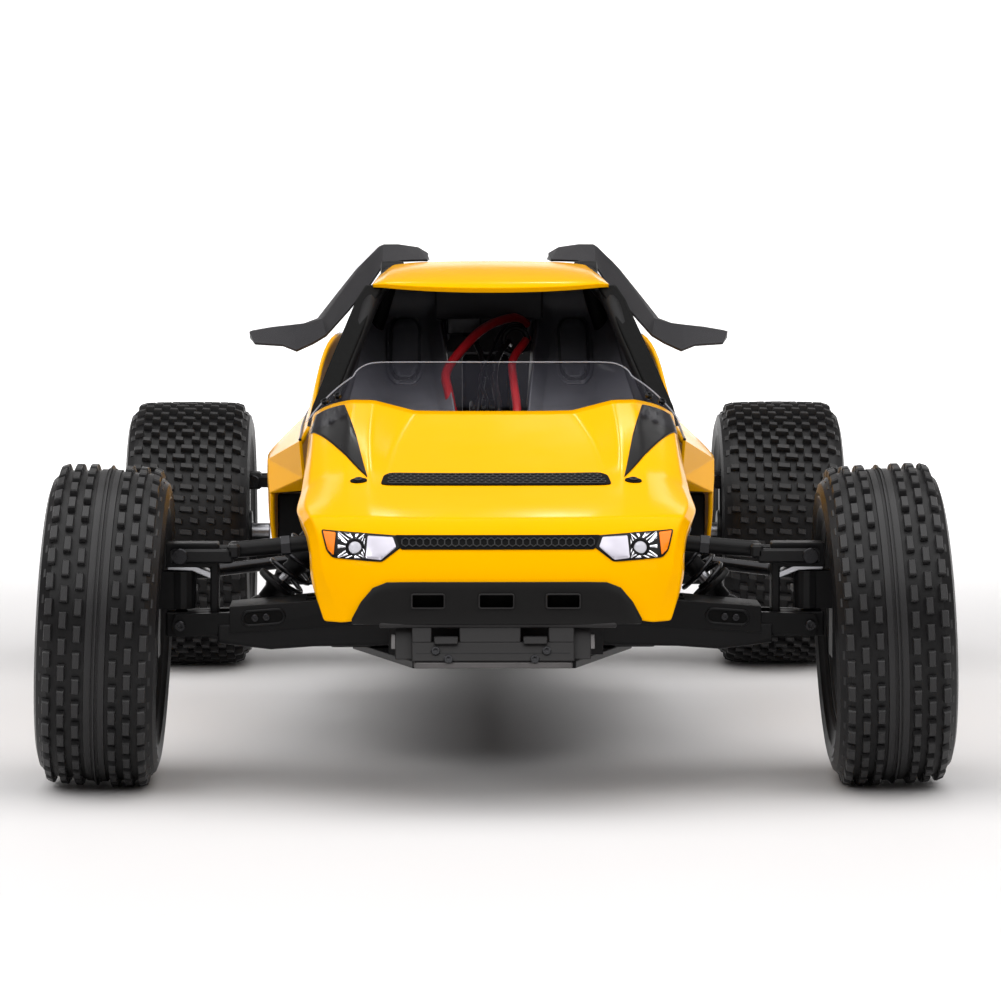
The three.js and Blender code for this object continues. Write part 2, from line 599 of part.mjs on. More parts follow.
function shockSpring(end, side) {
  const { length, at, way } = shockFrame(end, side);
  const from = 15.6 + SPRING.wire;
  const to = length - 17.6 - SPRING.wire;
  const u = new THREE.Vector3(0, 1, 0);
  const v = way.clone().cross(u);
  const steps = SPRING.turns * SPRING.perTurn;
  const coordinates = [];
  const triangles = [];
  for (let i = 0; i <= steps; i++) {
    const angle = (i / SPRING.perTurn) * 2 * Math.PI;
    const out = u.clone().multiplyScalar(Math.cos(angle)).addScaledVector(v, Math.sin(angle));
    const middle = new THREE.Vector3(...at(from + ((to - from) * i) / steps)).addScaledVector(out, SPRING.radius);
    for (let k = 0; k < SPRING.sides; k++) {
      const turn = (k / SPRING.sides) * 2 * Math.PI;
      const point = middle.clone().addScaledVector(out, SPRING.wire * Math.cos(turn));
      point.addScaledVector(way, SPRING.wire * Math.sin(turn));
      coordinates.push(point.x, point.y, point.z);
    }
  }
  const n = SPRING.sides;
  for (let i = 0; i < steps; i++) {
    for (let k = 0; k < n; k++) {
      const a = i * n + k;
      const b = i * n + ((k + 1) % n);
      triangles.push(a, b, b + n, a, b + n, a + n);
    }
  }
  for (let k = 1; k < n - 1; k++) {
    triangles.push(0, k + 1, k);
    triangles.push(steps * n, steps * n + k, steps * n + k + 1);
  }
  return closed(coordinates, triangles);
}

// ---- assembly ----
add("chassis_plate", chassisPlate(), "alloy");
add("front_bumper", frontBumper(), "grey");
add("front_bulkhead", frontBulkhead(), "black");
add("rear_gearbox", rearGearbox(), "black");
add("battery_pack", box(-68, -16, -150, 20, CHASSIS_TOP + 0.3, 104), "blue");
add("speed_controller", box(20, 66, -140, -50, CHASSIS_TOP + 0.3, 96), "grey");
add("steering_servo", steeringServo(), "black");
add("motor", motor(), "steel");
add("spur_gear", gear(SPUR_AT, 42.5, 48.5, 29.5, 40, 4.4), "grey");
add("motor_pinion", gear(PINION_AT, 42.5, 48.5, 9.8, 13, 2.9), "steel");
add("roll_cage", rollCage(), "black");
add("cockpit_tub", cockpitTub(), "black");
add("nose_panel", nosePanel(), "yellow");
add("windscreen", windscreen(), "clear");
add("roof_panel", roofPanel(), "yellow");
add("drag_link", dragLink(), "black");
add("servo_arm", steeringCrank(-1), "alloy");
add("idler_arm", steeringCrank(1), "alloy");

for (const [sideName, side] of [["left", -1], ["right", 1]]) {
  add(`roof_fin_${sideName}`, roofFin(side), "grey");
  add(`side_pod_${sideName}`, sidePod(side), "yellow");
  add(`front_tie_rod_${sideName}`, tieRod(side), "steel");
  add(`front_knuckle_${sideName}`, knuckle(side), "black");
  add(`half_shaft_${sideName}`, halfShaft(side), "steel");
  for (const [endName, end] of [["front", FRONT], ["rear", REAR]]) {
    add(`${endName}_arm_${sideName}`, lowerArm(end, side), "grey");
    add(`${endName}_upper_link_${sideName}`, upperLink(end, side), "black");
    add(`${endName}_hub_carrier_${sideName}`, hubCarrier(end, side), "black");
    add(`${endName}_rim_${sideName}`, rim(end, side), "black");
    add(`${endName}_tyre_${sideName}`, tyre(end, side), "tyre");
    add(`${endName}_shock_body_${sideName}`, shockBody(end, side), "black");
    add(`${endName}_shock_rod_${sideName}`, shockRod(end, side), "steel");
    add(`${endName}_spring_${sideName}`, shockSpring(end, side), "black");
  }
}

export default buggy;
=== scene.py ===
"""Looks for a 1/5-scale off-road RC buggy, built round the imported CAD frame.

Lengths in the code are in millimetres, and Blender's own units are metres.
"""

import math

import bmesh
import bpy
from mathutils import Matrix, Vector
from mathutils.bvhtree import BVHTree


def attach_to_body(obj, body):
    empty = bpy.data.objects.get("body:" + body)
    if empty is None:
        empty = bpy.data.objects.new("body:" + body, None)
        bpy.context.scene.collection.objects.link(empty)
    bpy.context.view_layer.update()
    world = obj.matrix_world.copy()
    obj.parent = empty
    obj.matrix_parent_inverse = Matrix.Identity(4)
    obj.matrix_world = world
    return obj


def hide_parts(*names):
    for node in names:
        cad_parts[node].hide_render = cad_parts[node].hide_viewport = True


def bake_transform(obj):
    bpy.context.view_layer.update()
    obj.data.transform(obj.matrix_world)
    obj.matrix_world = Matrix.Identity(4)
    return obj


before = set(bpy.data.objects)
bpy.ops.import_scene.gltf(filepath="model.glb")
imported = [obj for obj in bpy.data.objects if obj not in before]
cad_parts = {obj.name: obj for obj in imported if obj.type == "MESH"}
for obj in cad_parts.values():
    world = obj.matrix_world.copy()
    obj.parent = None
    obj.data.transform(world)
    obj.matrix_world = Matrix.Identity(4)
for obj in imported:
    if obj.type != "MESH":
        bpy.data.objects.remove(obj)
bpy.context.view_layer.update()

MM = 0.001
FRONT_Y = -285.0
REAR_Y = 285.0
AXLE_Z = 85.0
SIDES = (("left", -1), ("right", 1))
CENTRE = (0, 0, 0)
ACROSS = (1, 0, 0)
BACKWARDS = (0, 1, 0)
FORWARDS = (0, -1, 0)
UP = (0, 0, 1)
DOWN = (0, 0, -1)
AHEAD_OF_NOSE = -420.0      # where points start before they are pushed back onto the nose
ABOVE_NOSE = 230.0          # where points start before they are pushed down onto it
RAY_LEAD = 0.2              # metres that a ray starts before its point
COAT_ROUGHNESS = 0.06
ROUGHNESS_SPREAD = 0.07
CLOUD_SHARE = 0.12          # size of the slow colour change against the fine grain
GRAIN_DEPTH = 0.0004        # metres

# ---------------------------------------------------------------- materials


def finish(name, colour, rough, metal=0.0, coat=0.0, spread=0.08, scale=260.0, bump=0.05, wear_and_highlight=0.0, fine=0.0,
           alpha=1.0, specular=0.5, glint=(1.0, 1.0, 1.0)):
    """A principled material with colour and roughness variation, fine bump, and lighter edges: partly real
    rubbing, partly painted highlight.
    """
    mat = bpy.data.materials.new(name)
    mat.use_nodes = True
    tree = mat.node_tree
    nodes, links = tree.nodes, tree.links
    shader = nodes["Principled BSDF"]
    for socket, value in (("Metallic", metal), ("Coat Weight", coat), ("Coat Roughness", COAT_ROUGHNESS),
                          ("Specular Tint", list(glint) + [1]), ("Alpha", alpha),
                          ("Specular IOR Level", specular)):
        shader.inputs[socket].default_value = value
    place = nodes.new("ShaderNodeTexCoord")

    def noise(noise_scale, detail):
        made = nodes.new("ShaderNodeTexNoise")
        made.inputs["Scale"].default_value = noise_scale
        made.inputs["Detail"].default_value = detail
        links.new(place.outputs["Object"], made.inputs["Vector"])
        return made.outputs["Fac"]

    def ramp(source, stops):
        made = nodes.new("ShaderNodeValToRGB")
        for element, (position, value) in zip(made.color_ramp.elements, stops):
            element.position = position
            element.color = list(value) + [1]
        links.new(source, made.inputs["Fac"])
        return made.outputs["Color"]

    darker = [c * (1 - spread) for c in colour]
    lighter = [min(1, c * (1 + spread)) for c in colour]
    base = ramp(noise(scale * CLOUD_SHARE, 3), ((0.3, darker), (0.7, lighter)))
    # Lighter convex edges found by pointiness: partly rubbed plastic, partly a painted highlight where edges
    # catch the light.
    if wear_and_highlight:
        geometry = nodes.new("ShaderNodeNewGeometry")
        edge = ramp(geometry.outputs["Pointiness"], ((0.52, [0, 0, 0]), (0.62, [wear_and_highlight, wear_and_highlight, wear_and_highlight])))
        rubbed_and_lit = nodes.new("ShaderNodeMix")
        rubbed_and_lit.data_type = "RGBA"
        rubbed_and_lit.inputs["B"].default_value = [min(1, c * 2.2 + 0.03) for c in colour] + [1]
        links.new(edge, rubbed_and_lit.inputs["Factor"])
        links.new(base, rubbed_and_lit.inputs["A"])
        base = rubbed_and_lit.outputs["Result"]
    links.new(base, shader.inputs["Base Color"])
    grain = noise(scale * (1 + 9 * fine), 4)
    shine = nodes.new("ShaderNodeMapRange")
    shine.inputs["To Min"].default_value = max(0.02, rough - ROUGHNESS_SPREAD)
    shine.inputs["To Max"].default_value = min(1, rough + ROUGHNESS_SPREAD)
    links.new(grain, shine.inputs["Value"])
    links.new(shine.outputs["Result"], shader.inputs["Roughness"])
    if bump:
        raised = nodes.new("ShaderNodeBump")
        raised.inputs["Strength"].default_value = bump
        raised.inputs["Distance"].default_value = GRAIN_DEPTH
        links.new(grain, raised.inputs["Height"])
        links.new(raised.outputs["Normal"], shader.inputs["Normal"])
    return mat


YELLOW = finish("gloss_yellow", (0.93, 0.425, 0.0), 0.15, coat=0.02, spread=0.03, scale=40, bump=0.0,
                specular=0.03, glint=(1.0, 0.62, 0.02))
# Inside of the yellow shells: a darker, more orange copy of the yellow, painted shade on the inner face.
SHADED_INNER_YELLOW = finish("shaded_inner_yellow", (0.7, 0.28, 0.002), 0.5, spread=0.06, scale=120, bump=0.05,
                      specular=0.15, glint=(1.0, 0.6, 0.1))
BLACK_GLOSS = finish("gloss_black", (0.003, 0.003, 0.0035), 0.3, coat=0.05, scale=90, bump=0.01,
                     specular=0.12)
BLACK = finish("satin_black", (0.005, 0.005, 0.0055), 0.42, scale=500, bump=0.1, wear_and_highlight=0.15, fine=0.4,
               specular=0.16)
LINER = finish("liner_black", (0.05, 0.05, 0.056), 0.5, scale=500, bump=0.1, fine=0.4, specular=0.2)
GREY = finish("moulded_grey", (0.0065, 0.0058, 0.006), 0.5, scale=700, bump=0.2, wear_and_highlight=0.25, fine=0.6,
              specular=0.25)
PANEL = finish("panel_black", (0.004, 0.0037, 0.0037), 0.45, scale=700, bump=0.15, wear_and_highlight=0.25, fine=0.6,
               specular=0.18)
SEAT = finish("seat_grey", (0.1, 0.1, 0.115), 0.4, scale=800, bump=0.2, wear_and_highlight=0.6, fine=0.6, specular=0.4)
FIN = finish("matte_fin", (0.016, 0.0155, 0.018), 0.5, scale=900, bump=0.25, wear_and_highlight=0.25, fine=0.6,
             specular=0.24)
ARM = finish("filled_nylon", (0.0025, 0.0025, 0.0028), 0.34, scale=600, bump=0.15, wear_and_highlight=0.25, fine=0.5,
             specular=0.15)
RUBBER = finish("tyre_rubber", (0.0036, 0.0034, 0.0038), 0.38, scale=420, bump=0.3, wear_and_highlight=0.6, fine=0.3,
                specular=0.24)
RIM = finish("rim_black", (0.006, 0.006, 0.0065), 0.45, scale=400, bump=0.08, wear_and_highlight=0.3, fine=0.4)
ALLOY = finish("alloy", (0.55, 0.56, 0.59), 0.34, metal=1.0, scale=900, bump=0.06, spread=0.05, fine=0.5)
STEEL = finish("steel", (0.36, 0.36, 0.38), 0.28, metal=1.0, scale=1500, bump=0.03, spread=0.08, fine=0.4)
DARK_STEEL = finish("black_steel", (0.02, 0.02, 0.022), 0.26, metal=0.7, scale=1200, bump=0.06, spread=0.15,
                    fine=0.4)
CHROME = finish("mirror_silver", (0.75, 0.75, 0.8), 0.16, metal=1.0, scale=700, bump=0.02, spread=0.03)
AMBER = finish("amber_lens", (0.9, 0.2, 0.0), 0.2, coat=0.15, scale=200, bump=0.02, spread=0.05, specular=0.2)
LIP = finish("brushed_lip", (0.11, 0.105, 0.105), 0.45, metal=0.6, scale=900, bump=0.08, spread=0.1, fine=0.6,
             specular=0.2)
LAMP = finish("lamp_white", (0.6, 0.6, 0.66), 0.15, coat=0.6, scale=300, bump=0.01, spread=0.02)
PEARL = finish("lamp_pearl", (0.5, 0.48, 0.55), 0.22, metal=0.35, coat=0.5, scale=240, bump=0.03, spread=0.35)
WRAP = finish("battery_wrap", (0.008, 0.012, 0.035), 0.3, coat=0.4, scale=200, bump=0.05)
RED = finish("red_silicone", (0.3, 0.004, 0.008), 0.4, scale=400, bump=0.05)
MESH_BLACK = finish("mesh_black", (0.012, 0.012, 0.013), 0.35, coat=0.1, scale=500, bump=0.05, specular=0.3)
# Darkest black: the pillars' own colour, and painted shade in the vent, the band slot, screw wells, arm
# pockets and behind the grille slots.
DEEP_BLACK_AND_SHADE = finish("deep_black_and_painted_shade", (0.0025, 0.0025, 0.0025), 0.7, scale=300, bump=0.02, specular=0.1)
CLEAR = finish("clear_sheet", (0.13, 0.13, 0.17), 0.08, scale=60, bump=0.004, spread=0.02, alpha=0.035,
               coat=0.02, specular=0.06)
EDGE = finish("cut_edge", (0.5, 0.5, 0.54), 0.35, spread=0.03, scale=300, bump=0.03, alpha=0.4, specular=0.2)

# ---------------------------------------------------------------- mesh building


def fy(behind):
    """Distance behind the front axle as a Y in the row frame."""
    return FRONT_Y + behind


def spot(x, behind, z):
    """A point given by its distance behind the front axle."""
    return Vector((x, fy(behind), z))


def spots(points, side=1):
    """Points given as (x, distance behind the front axle, z), on the left when side is -1."""
    return [spot(side * x, behind, z) for x, behind, z in points]


def place_object(name, points, faces, mats):
    """A new object with a mesh made from points in metres, its normals facing out."""
    mesh = bpy.data.meshes.new(name)
    mesh.from_pydata(points, [], faces)
    tidy_normals(mesh)
    for mat in mats:
        mesh.materials.append(mat)
    return link_object(name, mesh)


def link_object(name, data):
    """A new object in the scene, for a mesh, light or camera."""
    obj = bpy.data.objects.new(name, data)
    bpy.context.collection.objects.link(obj)
    return obj


def thicken(obj, thickness, offset=0.0):
    """Gives a sheet its thickness in millimetres."""
    shell = obj.modifiers.new("thickness", "SOLIDIFY")
    shell.thickness = thickness * MM
    shell.offset = offset
    return shell


def probe(tree, start, way, lead=0.0):
    """Where a ray from a point meets a surface, in metres, and the normal that faces the ray."""
    way = Vector(way)
    hit, normal, _, _ = tree.ray_cast(Vector(start) * MM - way * lead, way)
    if hit is not None and normal.dot(way) > 0:
        normal = -normal
    return hit, normal


class Build:
    """Collects closed shapes in millimetres and turns them into one piece."""

    def __init__(self):
        self.points = []
        self.faces = []

    def add(self, points, faces):
        start = len(self.points)
        self.points += [Vector(p) for p in points]
        self.faces += [[start + i for i in face] for face in faces]

    def loft(self, rings, closed_ends=True):
        """Joins equal rings of points into a skin, with flat ends."""
        n = len(rings[0])
        points = [p for ring in rings for p in ring]
        faces = []
        for i in range(len(rings) - 1):
            for k in range(n):
                a, b = i * n + k, i * n + (k + 1) % n
                faces.append([a, b, b + n, a + n])
        if closed_ends:
            faces.append(list(range(n))[::-1])
            faces.append([(len(rings) - 1) * n + k for k in range(n)])
        self.add(points, faces)

    def box(self, low, high, chamfer=0.0):
        """A box with its edges cut back by chamfer."""
        (x0, y0, z0), (x1, y1, z1) = low, high
        c = chamfer
        rings = []
        levels = ((z0, c), (z0 + c, 0), (z1 - c, 0), (z1, c)) if c else ((z0, 0), (z1, 0))
        for z, inset in levels:
            a, b, d, e = x0 + inset, x1 - inset, y0 + inset, y1 - inset
            if c:
                ring = [(a + c, d), (b - c, d), (b, d + c), (b, e - c),
                        (b - c, e), (a + c, e), (a, e - c), (a, d + c)]
            else:
                ring = [(a, d), (b, d), (b, e), (a, e)]
            rings.append([Vector((x, y, z)) for x, y in ring])
        self.loft(rings)

    def side_box(self, side, xs, ys, zs, chamfer=0.0):
        """A box given by its spans on the right, on the left when side is -1."""
        x0, x1 = sorted(side * x for x in xs)
        self.box((x0, ys[0], zs[0]), (x1, ys[1], zs[1]), chamfer)

    def turned(self, profile, origin, axis, segments=32, hexagon=()):
        """A (radius, distance) profile turned about an axis. Rows listed in hexagon get six flats."""
        axis = Vector(axis).normalized()
        side = axis.orthogonal().normalized()
        other = axis.cross(side)
        rings = []
        for row, (radius, distance) in enumerate(profile):
            ring = []
            for k in range(segments):
                angle = 2 * math.pi * k / segments
                r = radius
                if row in hexagon:
                    r *= math.cos(math.pi / 6) / math.cos((angle % (math.pi / 3)) - math.pi / 6)
                ring.append(Vector(origin) + axis * distance + side * r * math.cos(angle)
                            + other * r * math.sin(angle))
            rings.append(ring)
        closed = profile[0] == profile[-1]
        self.loft(rings, closed_ends=not closed)

    def ring(self, profile, origin, axis, segments=32):
        """A profile that closes on itself, turned about an axis."""
        self.turned(list(profile) + [profile[0]], origin, axis, segments)

    def tube(self, path, radius, segments=14, closed=False):
        """A round tube along a list of points. radius is a number, or one per point."""
        path = [Vector(p) for p in path]
        if closed:
            path.append(path[0])
        n = len(path)
        radii = radius if isinstance(radius, (list, tuple)) else [radius] * n
        normal = None
        rings = []
        for i, point in enumerate(path):
            along = (path[min(i + 1, n - 1)] - path[max(i - 1, 0)]).normalized()
            if normal is None:
                normal = along.orthogonal().normalized()
            normal = (normal - along * normal.dot(along)).normalized()
            other = along.cross(normal)
            rings.append([
                point + normal * radii[i] * math.cos(2 * math.pi * k / segments)
                + other * radii[i] * math.sin(2 * math.pi * k / segments)
                for k in range(segments)
            ])
        self.loft(rings)

    def screw(self, centre, axis, radius=2.6, height=2.4):
        """A socket-head cap screw standing on centre."""
        r, h = radius, height
        profile = [(r * 0.9, -0.4), (r, 0), (r, h * 0.78), (r * 0.86, h), (r * 0.56, h), (r * 0.5, h * 0.9),
                   (r * 0.48, h * 0.3), (0.01, h * 0.25)]
        self.turned(profile, centre, axis, 18, hexagon=(4, 5, 6))

    def move(self, place):
        """Moves all shapes so far by a matrix."""
        self.points = [place @ p for p in self.points]

    def piece(self, name, mat, slot="black_plastic", body="chassis", sharp=30, bevel=0.0, replaces=()):
        """Makes the object. It rides on body, or on nothing yet when body is None."""
        obj = place_object(name, [p * MM for p in self.points], self.faces, [mat])
        smooth(obj.data, sharp)
        if bevel:
            soften(obj, bevel)
        attach(obj, body, replaces)
        return obj


def attach(obj, body, replaces=()):
    """Hides the CAD nodes that a piece stands for, and puts the piece on its body."""
    if replaces:
        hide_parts(*replaces)
    if body:
        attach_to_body(obj, body)


def tidy_normals(mesh):
    """Turns every face outwards."""
    made = bmesh.new()
    made.from_mesh(mesh)
    bmesh.ops.recalc_face_normals(made, faces=made.faces)
    made.to_mesh(mesh)
    made.free()


def smooth(mesh, sharp):
    """Shades smooth, apart from edges that turn by more than sharp degrees."""
    mesh.shade_smooth()
    mesh.set_sharp_from_angle(angle=math.radians(sharp))


def soften(obj, width, angle=40):
    """Rounds the edges of a piece."""
    bevel = obj.modifiers.new("soften", "BEVEL")
    bevel.width = width * MM
    bevel.segments = 2
    bevel.limit_method = "ANGLE"
    bevel.angle_limit = math.radians(angle)
    bevel.harden_normals = False


def keep_cad(node, mat, bevel):
    """A CAD node that stays, with rounded edges and a better material."""
    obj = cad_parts[node]
    obj.data.materials.clear()
    obj.data.materials.append(mat)
    weld = obj.modifiers.new("weld", "WELD")
    weld.merge_threshold = 0.00001
    soften(obj, bevel, angle=30)


def curve_through(points, steps=8):
    """A smooth path through points."""
    points = [Vector(p) for p in points]
    ends = [points[0] * 2 - points[1]] + points + [points[-1] * 2 - points[-2]]
    path = []
    for i in range(1, len(ends) - 2):
        p0, p1, p2, p3 = ends[i - 1:i + 3]
        for k in range(steps):
            t = k / steps
            path.append(0.5 * ((2 * p1) + (p2 - p0) * t + (2 * p0 - 5 * p1 + 4 * p2 - p3) * t * t
                               + (3 * p1 - p0 - 3 * p2 + p3) * t ** 3))
    path.append(points[-1])
    return path


def rounded_corner(before, corner, after, radius, steps):
    """A bend that cuts the corner between two straight runs."""
    reach = min(radius, (corner - before).length * 0.45, (after - corner).length * 0.45)
    a = corner + (before - corner).normalized() * reach
    b = corner + (after - corner).normalized() * reach
    shares = [k / steps for k in range(steps + 1)]
    return [a * (1 - t) ** 2 + corner * 2 * t * (1 - t) + b * t * t for t in shares]


def rounded_path(points):
    """Straight runs between points with each corner rounded off."""
    points = [Vector(p) for p in points]
    path = [points[0]]
    for before, corner, after in zip(points, points[1:], points[2:]):
        path += rounded_corner(before, corner, after, 14.0, 6)
    return path + [points[-1]]


def rounded_outline(corners, radius):
    """A closed outline with its corners rounded."""
    points = [Vector(c) for c in corners]
    outline = []
    for before, corner, after in zip(points[-1:] + points, points, points[1:] + points[:1]):
        outline += rounded_corner(before, corner, after, radius, 4)
    return outline


def grid_faces(height, width, holes=()):
    """Four-sided faces between the points of a grid, apart from the (row, column) cells in holes."""
    cells = [(i, j) for i in range(height - 1) for j in range(width - 1) if (i, j) not in holes]
    starts = [i * width + j for i, j in cells]
    return [[k, k + 1, k + width + 1, k + width] for k in starts]


def skin(name, rows, mat, thickness=2.2, creases=(), levels=2, replaces=(), offset=-1.0, inner=None):
    """A grid of points subdivided into a smooth shell of even thickness, on the chassis.

    creases holds (row, columns or None, weight), or (None, columns, weight) for creases along columns.
    """
    width = len(rows[0])
    points = [Vector(p) * MM for row in rows for p in row]
    obj = place_object(name, points, grid_faces(len(rows), width), [mat, inner] if inner else [mat])
    mesh = obj.data
    if creases:
        layer = mesh.attributes.new("crease_edge", "FLOAT", "EDGE")
        for edge in mesh.edges:
            (ia, ja), (ib, jb) = (divmod(v, width) for v in edge.vertices)
            for row, column, weight in creases:
                if row is not None and ia == ib == row and (column is None or min(ja, jb) in column):
                    layer.data[edge.index].value = weight
                if row is None and ja == jb and ja in column:
                    layer.data[edge.index].value = weight
    mesh.shade_smooth()
    level = obj.modifiers.new("subdivide", "SUBSURF")
    level.levels = level.render_levels = levels
    level.boundary_smooth = "PRESERVE_CORNERS"
    shell = thicken(obj, thickness, offset)
    shell.use_even_offset = True
    if inner:
        shell.material_offset = 1
        shell.material_offset_rim = 0
    attach(obj, "chassis", replaces)
    return obj


def mirrored(half):
    """A row given from the centre line to the right, completed to the left."""
    return [(-x, y, z) for x, y, z in half[::-1] if x > 0] + list(half)


def surface_of(obj):
    """The finished outside of a piece, for laying trims on it."""
    bpy.context.view_layer.update()
    return BVHTree.FromObject(obj, bpy.context.evaluated_depsgraph_get())


def laid_patch(name, outline, tree, way, mat, lift, thickness, cuts):
    """A flat outline pushed onto a surface along one direction, and thickened."""
    made = bmesh.new()
    corners = [made.verts.new(Vector(p) * MM) for p in outline]
    made.faces.new(corners)
    bmesh.ops.triangulate(made, faces=made.faces)
    for _ in range(cuts):
        bmesh.ops.subdivide_edges(made, edges=made.edges, cuts=1, use_grid_fill=True)
    bmesh.ops.triangulate(made, faces=made.faces)
    way = Vector(way)
    for vert in made.verts:
        hit, normal, _, _ = tree.ray_cast(vert.co - way * RAY_LEAD, way)
        if hit is None:
            hit, normal, _, _ = tree.find_nearest(vert.co)
        if normal.dot(way) > 0:
            normal = -normal
        vert.co = hit + normal * lift * MM
    mesh = bpy.data.meshes.new(name)
    made.to_mesh(mesh)
    made.free()
    tidy_normals(mesh)
    mesh.shade_smooth()
    mesh.materials.append(mat)
    obj = link_object(name, mesh)
    thicken(obj, thickness)
    attach(obj, "chassis")


# ---------------------------------------------------------------- camera, light, floor

CAMERA_AT = Vector((-29.5, FRONT_Y - 2470.0, 347.0))
CAMERA_PITCH = 4.54
CAMERA_YAW = 0.75
CAMERA_LENS = 168.5
GLOW_FROM = 0.25            # metres behind the centre, where the sweep starts to glow
GLOW_TO = 1.9
FLOOR_HALF = 5.0
SWEEP_FROM = 3.0            # metres behind the centre, where the floor starts to curve up
SWEEP_STEPS = 10
# Soft lights: name, place, target, width and depth in metres, and power in watts.
LIGHTS = (
    ("overhead", (0.0, -1.1, 2.2), (0, -1.1, 0.0), 6.0, 4.0, 165),
    ("key", (-1.3, -2.5, 1.5), (0, -0.2, 0.12), 0.9, 0.7, 11),
    ("fill", (1.6, -2.2, 1.1), (0, 0, 0.12), 0.9, 0.9, 7),
    ("back_left", (-0.75, 2.7, 1.75), (0, -0.2, 0.15), 0.5, 0.3, 0.8),
    ("back_right", (0.75, 2.7, 1.75), (0, -0.2, 0.15), 0.5, 0.3, 1.0),
    ("glint_left", (-0.15, 2.7, 2.3), (0, -0.385, 0.15), 0.07, 0.12, 0.6),
    ("glint_right", (0.13, 2.7, 2.3), (0, -0.385, 0.15), 0.07, 0.12, 0.8),
)


def set_stage():
    """Camera, world, lights and a floor that sweeps up behind the car."""
    camera = link_object("camera", bpy.data.cameras.new("camera"))
    camera.data.lens = CAMERA_LENS
    camera.data.sensor_width = 36.0
    camera.data.clip_end = 50.0
    camera.location = CAMERA_AT * MM
    camera.rotation_euler = (math.radians(90 - CAMERA_PITCH), 0, math.radians(-CAMERA_YAW))
    bpy.context.scene.camera = camera
    bpy.context.scene.view_settings.view_transform = "Standard"

    world = bpy.data.worlds.new("studio")
    world.use_nodes = True
    world.node_tree.nodes["Background"].inputs["Color"].default_value = (1.0, 0.94, 0.92, 1)
    world.node_tree.nodes["Background"].inputs["Strength"].default_value = 0.2
    bpy.context.scene.world = world

    for name, at, target, width, depth, power in LIGHTS:
        data = bpy.data.lights.new(name, "AREA")
        data.shape = "RECTANGLE"
        data.size = width
        data.size_y = depth
        data.energy = power
        light = link_object(name, data)
        light.location = at
        light.rotation_euler = (Vector(target) - Vector(at)).to_track_quat("-Z", "Y").to_euler()

    floor_finish = finish("floor_white", (0.655, 0.645, 0.645), 0.7, spread=0.004, scale=3, bump=0.0,
                          specular=0.2)
    nodes, links = floor_finish.node_tree.nodes, floor_finish.node_tree.links
    place = nodes.new("ShaderNodeTexCoord")
    apart = nodes.new("ShaderNodeSeparateXYZ")
    links.new(place.outputs["Object"], apart.inputs["Vector"])
    glow = nodes.new("ShaderNodeMapRange")
    glow.interpolation_type = "SMOOTHSTEP"
    glow.inputs["From Min"].default_value = GLOW_FROM
    glow.inputs["From Max"].default_value = GLOW_TO
    links.new(apart.outputs["Y"], glow.inputs["Value"])
    shader = nodes["Principled BSDF"]
    shader.inputs["Emission Color"].default_value = (1, 1, 1, 1)
    links.new(glow.outputs["Result"], shader.inputs["Emission Strength"])
    mesh = bpy.data.meshes.new("floor")
    rows = [(-6.0, 0.0), (0.0, 0.0), (SWEEP_FROM, 0.0)]
    angles = [math.pi / 2 * k / SWEEP_STEPS for k in range(1, SWEEP_STEPS + 1)]
    rows += [(SWEEP_FROM + math.sin(a), 1.0 - math.cos(a)) for a in angles]
    points = [(x, y, z) for y, z in rows for x in (-FLOOR_HALF, FLOOR_HALF)]
    faces = grid_faces(len(rows), 2)
    mesh.from_pydata(points, [], faces)
    mesh.shade_smooth()
    mesh.materials.append(floor_finish)
    link_object("floor", mesh)


set_stage()

# ---------------------------------------------------------------- tyres and rims

TYRES = {
    "front": {"half": 30.5, "x": 206.0, "camber": math.radians(2.8), "y": FRONT_Y},
    "rear": {"half": 38.5, "x": 190.0, "camber": 0.0, "y": REAR_Y},
}
TREAD_RADIUS = 85.0
BLOCK_HEIGHT = 3.5
FRONT_BLOCKS = 38           # blocks round one row of a front tyre
REAR_BLOCKS = 72            # rows of blocks round a rear tyre
LUGS = 36                   # shoulder lugs round each side
SPOKES = 5
RIM_BOLTS = 15
SPOKE_SECTION = ((-1, -0.6), (-0.6, -1), (0.6, -1), (1, -0.6), (0.8, 0.7), (0.45, 1), (-0.45, 1), (-0.8, 0.7))


def tread_level(half, across):
    """Carcass radius at a distance from the tyre's middle."""
    t = min(1.0, abs(across) / half)
    return TREAD_RADIUS - BLOCK_HEIGHT - 1.0 * t ** 2 - 7.5 * max(0.0, (t - 0.78) / 0.22) ** 2


def wheel_place(end, side):
    """Matrix from wheel space, with +X outwards and the axle at the origin, to the row frame."""
    t = TYRES[end]
    turn = Matrix.Rotation(-t["camber"] * side, 4, "Y")
    flip = Matrix.Rotation(math.pi if side < 0 else 0, 4, "Z")
    return Matrix.Translation((side * t["x"], t["y"], AXLE_Z)) @ turn @ flip


def polar(across, angle, radius):
    """A point in wheel space."""
    return Vector((across, radius * math.cos(angle), radius * math.sin(angle)))


def add_block(build, half, across, angle, width, length, height, shear=0.0):
    """One tread block: across the tyre by width, round it by length, with chamfered top."""
    rings = []
    for lift, grow in ((-0.8, 1.06), (height * 0.8, 0.98), (height, 0.84)):
        ring = []
        for u, v in ((-1, -1), (1, -1), (1, 1), (-1, 1)):
            a = across + u * width * 0.5 * grow
            turn = angle + (v * length * 0.5 * grow + u * shear) / TREAD_RADIUS
            ring.append(polar(a, turn, tread_level(half, a) + lift))
        rings.append(ring)
    build.loft(rings)


